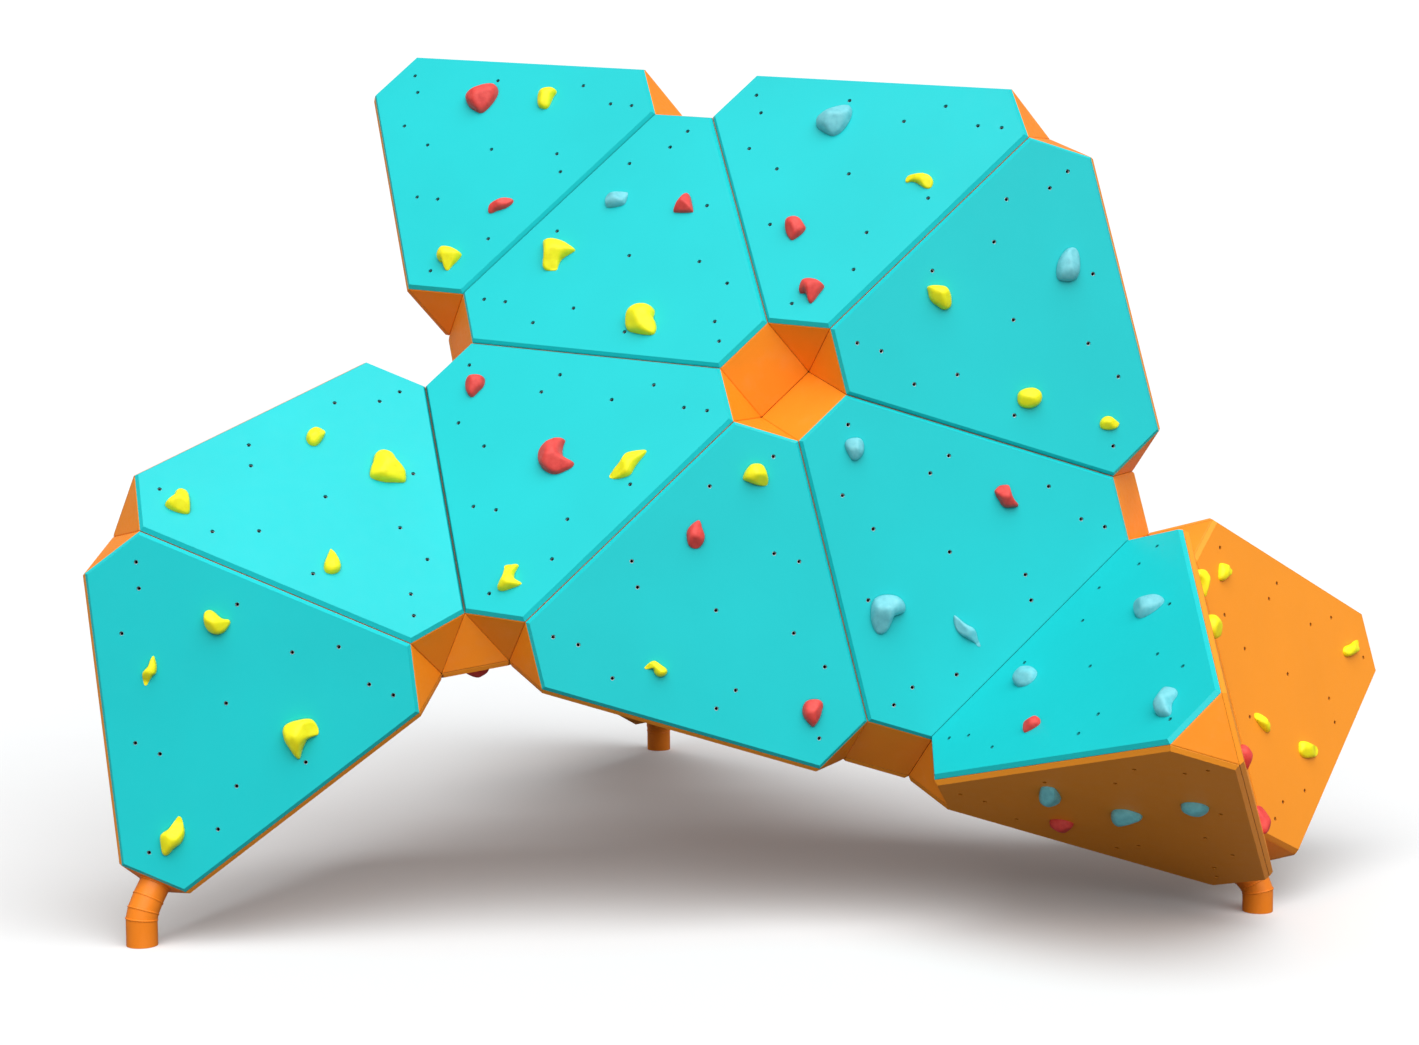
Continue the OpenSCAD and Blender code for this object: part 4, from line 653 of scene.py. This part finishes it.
def triangulate(rim, gap):
    """Points and counter-clockwise triangles: rows along the rim, staggered grid within."""
    tangent = np.roll(rim, -1, axis=0) - np.roll(rim, 1, axis=0)
    inward = np.stack([-tangent[:, 1], tangent[:, 0]], axis=1)
    inward /= np.linalg.norm(inward, axis=1)[:, None]
    points = [rim]
    for depth in RIM_ROWS:
        row = rim + inward * depth
        points.append(row[inside(rim, row) & (edge_distance(rim, row) > 0.86 * depth)])
    low, high = rim.min(axis=0), rim.max(axis=0)
    gx, gy = np.meshgrid(np.arange(low[0], high[0], gap),
                         np.arange(low[1], high[1], gap * 0.87))
    gx = gx + (np.arange(gx.shape[0]) % 2)[:, None] * gap / 2
    grid = np.stack([gx.ravel(), gy.ravel()], axis=1)
    grid = grid[inside(rim, grid)]
    points.append(grid[edge_distance(rim, grid) > RIM_ROWS[-1] + 0.6 * gap])
    co, _, tris, _, _, _ = delaunay_2d_cdt([Vector(v) for v in np.vstack(points)],
                                           loop_edges(len(rim)), [], 0, 1e-7)
    co = np.array([[v[0], v[1]] for v in co])
    tri = np.array([t for t in tris if len(t) == 3])
    tri = tri[inside(rim, co[tri].mean(axis=1))]
    flip = signed_areas(co, tri) < 0
    tri[flip] = tri[flip][:, ::-1]
    return co, tri


def soap_film(co, tri, free):
    """Height, 0 to 1, of an evenly blown film held at the points that aren't free."""
    a, b, c = co[tri[:, 0]], co[tri[:, 1]], co[tri[:, 2]]
    area = np.maximum(np.abs(signed_areas(co, tri)), 1e-12)
    sides = np.stack([c - b, a - c, b - a], axis=1)
    stiff = np.zeros((len(co), len(co)))
    load = np.zeros(len(co))
    for i in range(3):
        np.add.at(load, tri[:, i], area / 3)
        for j in range(3):
            np.add.at(stiff, (tri[:, i], tri[:, j]),
                      (sides[:, i] * sides[:, j]).sum(axis=1) / (4 * area))
    film = np.zeros(len(co))
    film[free] = np.linalg.solve(stiff[np.ix_(free, free)], load[free])
    film = np.clip(film, 0, None)
    return film / film.max()


def hold_heights(co, film, rim_d, size, height, seed):
    """The film cut by leaning soft facets, roughened, and kept above the screw."""
    rng = np.random.RandomState(1000 + seed)
    lean = rng.uniform(-math.pi, math.pi)
    top = co[int(np.argmax(film))] + 0.10 * size * np.array([math.cos(lean), math.sin(lean)])
    z = 1.10 * height * film ** 0.47
    for turn, steep, level in FACETS:
        d = np.array([math.cos(lean + turn), math.sin(lean + turn)])
        plane = height * (level - steep * ((co - top) @ d) / (0.5 * size))
        z = soft_min(z, plane, k=0.26 * height)
    wobble = np.array([noise.noise(Vector((x * 38 + seed, y * 38, seed * 0.37)))
                       for x, y in co])
    z += 0.0012 * wobble * np.clip(film * 3, 0, 1)
    w = np.clip((COVER_REACH - np.linalg.norm(co, axis=1)) / COVER_SLOPE, 0, 1)
    w = w * w * (3 - 2 * w) * np.clip(rim_d / 0.003, 0, 1) ** 0.5
    z = np.maximum(z, (HEAD_TOP + COVER_SKIN) * w)
    z = np.clip(z, 0.05 * height, height * 1.04)
    z[rim_d < ON_RIM] = 0.0
    return z


def add_pocket(bm, circle):
    """Bore, seat, wall and roof; gives back the bore's ring on the flat back."""
    rings = [[bm.verts.new((x * radius, y * radius, level)) for x, y in circle]
             for radius, level in ((BORE, 0.0), (BORE, SEAT_Z), (HEAD, SEAT_Z), (HEAD, HEAD_TOP))]
    for lower, upper in zip(rings, rings[1:]):
        for i, j in loop_edges(TURNS):
            bm.faces.new((lower[i], lower[j], upper[j], upper[i]))
    bm.faces.new(rings[-1])
    return rings[0]


def add_back(bm, rim, rim_verts, circle, bore_verts):
    """Flat back with the bore's hole in it."""
    n = len(rim)
    flat = [Vector(v) for v in np.vstack([rim, circle * BORE])]
    edges = loop_edges(n) + loop_edges(TURNS, start=n)
    co, _, tris, origins, _, _ = delaunay_2d_cdt(flat, edges, [], 0, 1e-7)
    back = []
    for v, origin in zip(co, origins):
        if not origin:
            back.append(bm.verts.new((v[0], v[1], 0.0)))
        elif origin[0] < n:
            back.append(rim_verts[origin[0]])
        else:
            back.append(bore_verts[origin[0] - n])
    for tri in tris:
        mid = sum((Vector(co[i]) for i in tri), Vector((0, 0))) / len(tri)
        if mid.length < BORE * math.cos(math.pi / TURNS) - 1e-6:
            continue
        if not inside(rim, np.array([[mid.x, mid.y]]))[0]:
            continue
        ear = bm.faces.get([back[i] for i in tri])
        if ear:  # a top face lying flat on the back: leave both off
            bm.faces.remove(ear)
        else:
            bm.faces.new([back[i] for i in reversed(tri)])


def hold_mesh(poly, height, seed, gap):
    """One closed hold in its own frame, its back on z = 0."""
    rim = even(spline(poly, steps=8), gap)
    area = 0.5 * np.sum(rim[:, 0] * np.roll(rim[:, 1], -1) - np.roll(rim[:, 0], -1) * rim[:, 1])
    if area < 0:
        rim = rim[::-1].copy()
    co, tri = triangulate(rim, gap)
    used = np.unique(tri)
    rim_d = edge_distance(rim, co)
    free = np.zeros(len(co), bool)
    free[used] = True
    free &= rim_d >= ON_RIM
    film = soap_film(co, tri, free)
    z = hold_heights(co, film, rim_d, 1.15 * math.sqrt(abs(area)), height, seed)
    bm = bmesh.new()
    top_verts = {i: bm.verts.new((co[i, 0], co[i, 1], z[i])) for i in used}
    for t in tri:
        bm.faces.new([top_verts[i] for i in t])
    rim_verts = [top_verts[int(np.argmin(((co - q) ** 2).sum(axis=1)))] for q in rim]
    angle = np.arange(TURNS) * 2 * math.pi / TURNS
    circle = np.stack([np.cos(angle), np.sin(angle)], axis=1)
    add_back(bm, rim, rim_verts, circle, add_pocket(bm, circle))
    bmesh.ops.delete(bm, geom=[v for v in bm.verts if not v.link_faces], context="VERTS")
    bmesh.ops.recalc_face_normals(bm, faces=bm.faces)
    return bm


def up_turn(x, y):
    """Angle of the world's up within a panel; 0 where the panel lies level."""
    up = (x[2], y[2])
    return 0.0 if math.hypot(*up) < 0.02 else math.atan2(up[1], up[0])


def hold_rows():
    """Every hold: panel, grid place, outline, height, colour, front or not, spin."""
    rows = [(FRONT[key], place, laid(FRONT[key], place, height / 1000, outline),
             height / 1000, color, True, 0.0)
            for key, place, color, height, outline in DRAWN]
    plan = [(FRONT[key], *rest, True) for key, *rest in FRONT_HOLDS]
    # the rear holds run through shapes, sizes and colours in a fixed cycle
    for i, panel in enumerate(REAR):
        for j in range(3):
            plan.append((panel, REAR_GRID[i % 4][j], (7 * i + 5 * j + 3) % len(SHAPES),
                         78 + (i * 13 + j * 17) % 40, (i + 2 * j) % 3, False))
    for panel, place, shape, size, color, front in plan:
        _, x, y, _ = face_frame(panel)
        rows.append((panel, place, np.array(SHAPES[shape]) * size / 1000,
                     min(0.056, max(0.024, 0.00038 * size)), color, front,
                     up_turn(x, y) - math.pi / 2))
    return rows


def add_object(name, bm, material):
    mesh = bpy.data.meshes.new(name)
    bm.to_mesh(mesh)
    bm.free()
    thing = bpy.data.objects.new(name, mesh)
    SCENE.collection.objects.link(thing)
    mesh.materials.append(material)
    return thing


def build_holds():
    """All holds, joined by colour and side."""
    groups = {}
    for seed, (panel, place, poly, height, color, front, spin) in enumerate(hold_rows()):
        bm = hold_mesh(poly, height, seed, FRONT_GAP if front else REAR_GAP)
        o, x, y, n = seat(panel, place)
        matrix = Matrix((*((x[i], y[i], n[i], o[i]) for i in range(3)), (0, 0, 0, 1)))
        matrix = matrix @ Matrix.Rotation(spin, 4, "Z")
        bmesh.ops.transform(bm, matrix=matrix, verts=bm.verts)
        mesh = bpy.data.meshes.new("tmp")
        bm.to_mesh(mesh)
        bm.free()
        groups.setdefault((color, front), []).append(mesh)
    for (color, front), parts in sorted(groups.items()):
        bm = bmesh.new()
        for mesh in parts:
            bm.from_mesh(mesh)
            bpy.data.meshes.remove(mesh)
        for face in bm.faces:
            face.smooth = True
        word, material = COLORS[color]
        side = "front" if front else "rear"
        holds = add_object(f"climbing_holds_{word}_{side}", bm, material)
        add_split(holds, degrees=50)
        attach(holds, "root")
        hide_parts("holds_" + word)


build_holds()

# ------------------------------------------------------------- weld beads ---
BEAD_AROUND, BEAD_SIDES, BEAD_RIPPLES = 144, 8, 36


def bead(centre, before, after, radius, name, thick=0.0032):
    """A weld bead round a tube where two pieces meet: the mitre plane halves
    the angle between them."""
    mitre = unit(before + after)
    axis = unit(before)
    side = unit(np.cross(axis, [0.3, 1.0, 0.2]))
    side2 = np.cross(axis, side)
    bm = bmesh.new()
    rows = []
    for i in range(BEAD_AROUND):
        t = 2 * math.pi * i / BEAD_AROUND
        c = centre + radius * (side * math.cos(t) + side2 * math.sin(t))
        c = c - axis * ((c - centre) @ mitre) / (axis @ mitre)
        tangent = unit(np.cross(mitre, unit(c - centre)))
        outward = unit(np.cross(tangent, mitre))
        if outward @ (c - centre) < 0:
            outward = -outward
        k = thick * (1 + 0.16 * math.cos(t * BEAD_RIPPLES))
        rows.append([bm.verts.new(c + k * (0.55 * outward * math.cos(a) + mitre * math.sin(a)))
                     for a in (2 * math.pi * j / BEAD_SIDES for j in range(BEAD_SIDES))])
    for i, i2 in loop_edges(BEAD_AROUND):
        for j, j2 in loop_edges(BEAD_SIDES):
            face = bm.faces.new((rows[i][j], rows[i2][j], rows[i2][j2], rows[i][j2]))
            face.smooth = True
    bmesh.ops.recalc_face_normals(bm, faces=bm.faces)
    weld = add_object(name, bm, FOOT)
    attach(weld, "root")


for side, labels in FEET.items():
    line = foot_line([CORNERS[k] for k in labels])
    dirs = [unit(line[i + 1] - line[i]) for i in range(4)]
    for i in range(3):
        bead(line[i + 1], dirs[i], dirs[i + 1], TUBE_R, f"foot_weld_{side}_{i + 1}")
    bead(line[0] + dirs[0] * 0.0015, dirs[0], dirs[0], TUBE_R + 0.001,
         f"foot_weld_{side}_top", thick=0.004)

# --------------------------------------------------- floor, light, camera ---


def build_floor():
    """Painted floor: the camera sees the paint with a faint glow, painted light that lightens the
    shadow under the wall; light meets a grey.
    """
    bm = bmesh.new()
    bmesh.ops.create_grid(bm, x_segments=8, y_segments=8, size=60)
    m = Material("floor_paint_and_glow", rough=0.8, spec=0.0)
    paint = m.ramp(m.noise(scale=0.6, detail=3.0),
                   [(0.3, (0.742, 0.758, 0.766)), (0.7, (0.754, 0.770, 0.778))])
    seen = m.new("ShaderNodeLightPath").outputs["Is Camera Ray"]
    m.finish(m.mix(seen, a=(0.20, 0.20, 0.20), b=paint))
    m.bsdf.inputs["Emission Color"].default_value = (1, 1, 1, 1)
    # a faint glow seen only by the camera: painted light that lightens the shadow on the floor
    m.feed(m.bsdf.inputs["Emission Strength"], m.math("MULTIPLY", seen, b=0.068))
    add_object("floor", bm, m.material)


def build_world(light, backdrop):
    """White surroundings, with one strength for lighting and one for the camera's view."""
    world = bpy.data.worlds.new("studio")
    SCENE.world = world
    world.use_nodes = True
    nodes, links = world.node_tree.nodes, world.node_tree.links
    shaders = (nodes["Background"], nodes.new("ShaderNodeBackground"))
    for shader, strength in zip(shaders, (light, backdrop)):
        shader.inputs["Color"].default_value = (1, 1, 1, 1)
        shader.inputs["Strength"].default_value = strength
    path = nodes.new("ShaderNodeLightPath")
    mix = nodes.new("ShaderNodeMixShader")
    links.new(path.outputs["Is Camera Ray"], mix.inputs["Fac"])
    links.new(shaders[0].outputs[0], mix.inputs[1])
    links.new(shaders[1].outputs[0], mix.inputs[2])
    links.new(mix.outputs[0], nodes["World Output"].inputs["Surface"])


def build_sun(name, direction, strength, degrees):
    """A sun shining from the given direction; degrees is its width in the sky."""
    light = bpy.data.lights.new(name, "SUN")
    light.energy = strength
    light.angle = math.radians(degrees)
    lamp = bpy.data.objects.new(name, light)
    SCENE.collection.objects.link(lamp)
    lamp.rotation_euler = Vector(direction).to_track_quat("Z", "Y").to_euler()


def build_camera(eye, ahead, up, lens):
    data = bpy.data.cameras.new("camera")
    data.sensor_fit = "HORIZONTAL"
    data.sensor_width = 36.0
    data.lens = lens
    data.clip_end = 200
    camera = bpy.data.objects.new("camera", data)
    SCENE.collection.objects.link(camera)
    ahead = Vector(ahead).normalized()
    right = ahead.cross(Vector(up)).normalized()
    up = right.cross(ahead)
    camera.matrix_world = Matrix((*((right[i], up[i], -ahead[i], eye[i]) for i in range(3)),
                                  (0, 0, 0, 1)))
    SCENE.camera = camera


build_floor()
build_world(light=0.31, backdrop=1.05)
build_sun("key", direction=(0.07, -0.56, 0.83), strength=3.68, degrees=80)

SCENE.view_settings.view_transform = "Standard"
SCENE.view_settings.look = "None"
SCENE.view_settings.exposure = 0.0
SCENE.view_settings.gamma = 1.0

build_camera(eye=(0.9482364, -8.8765774, 2.239006), ahead=(0.10085, 0.98989, -0.09978),
             up=(0.01589, 0.09867, 0.99499), lens=69.90)
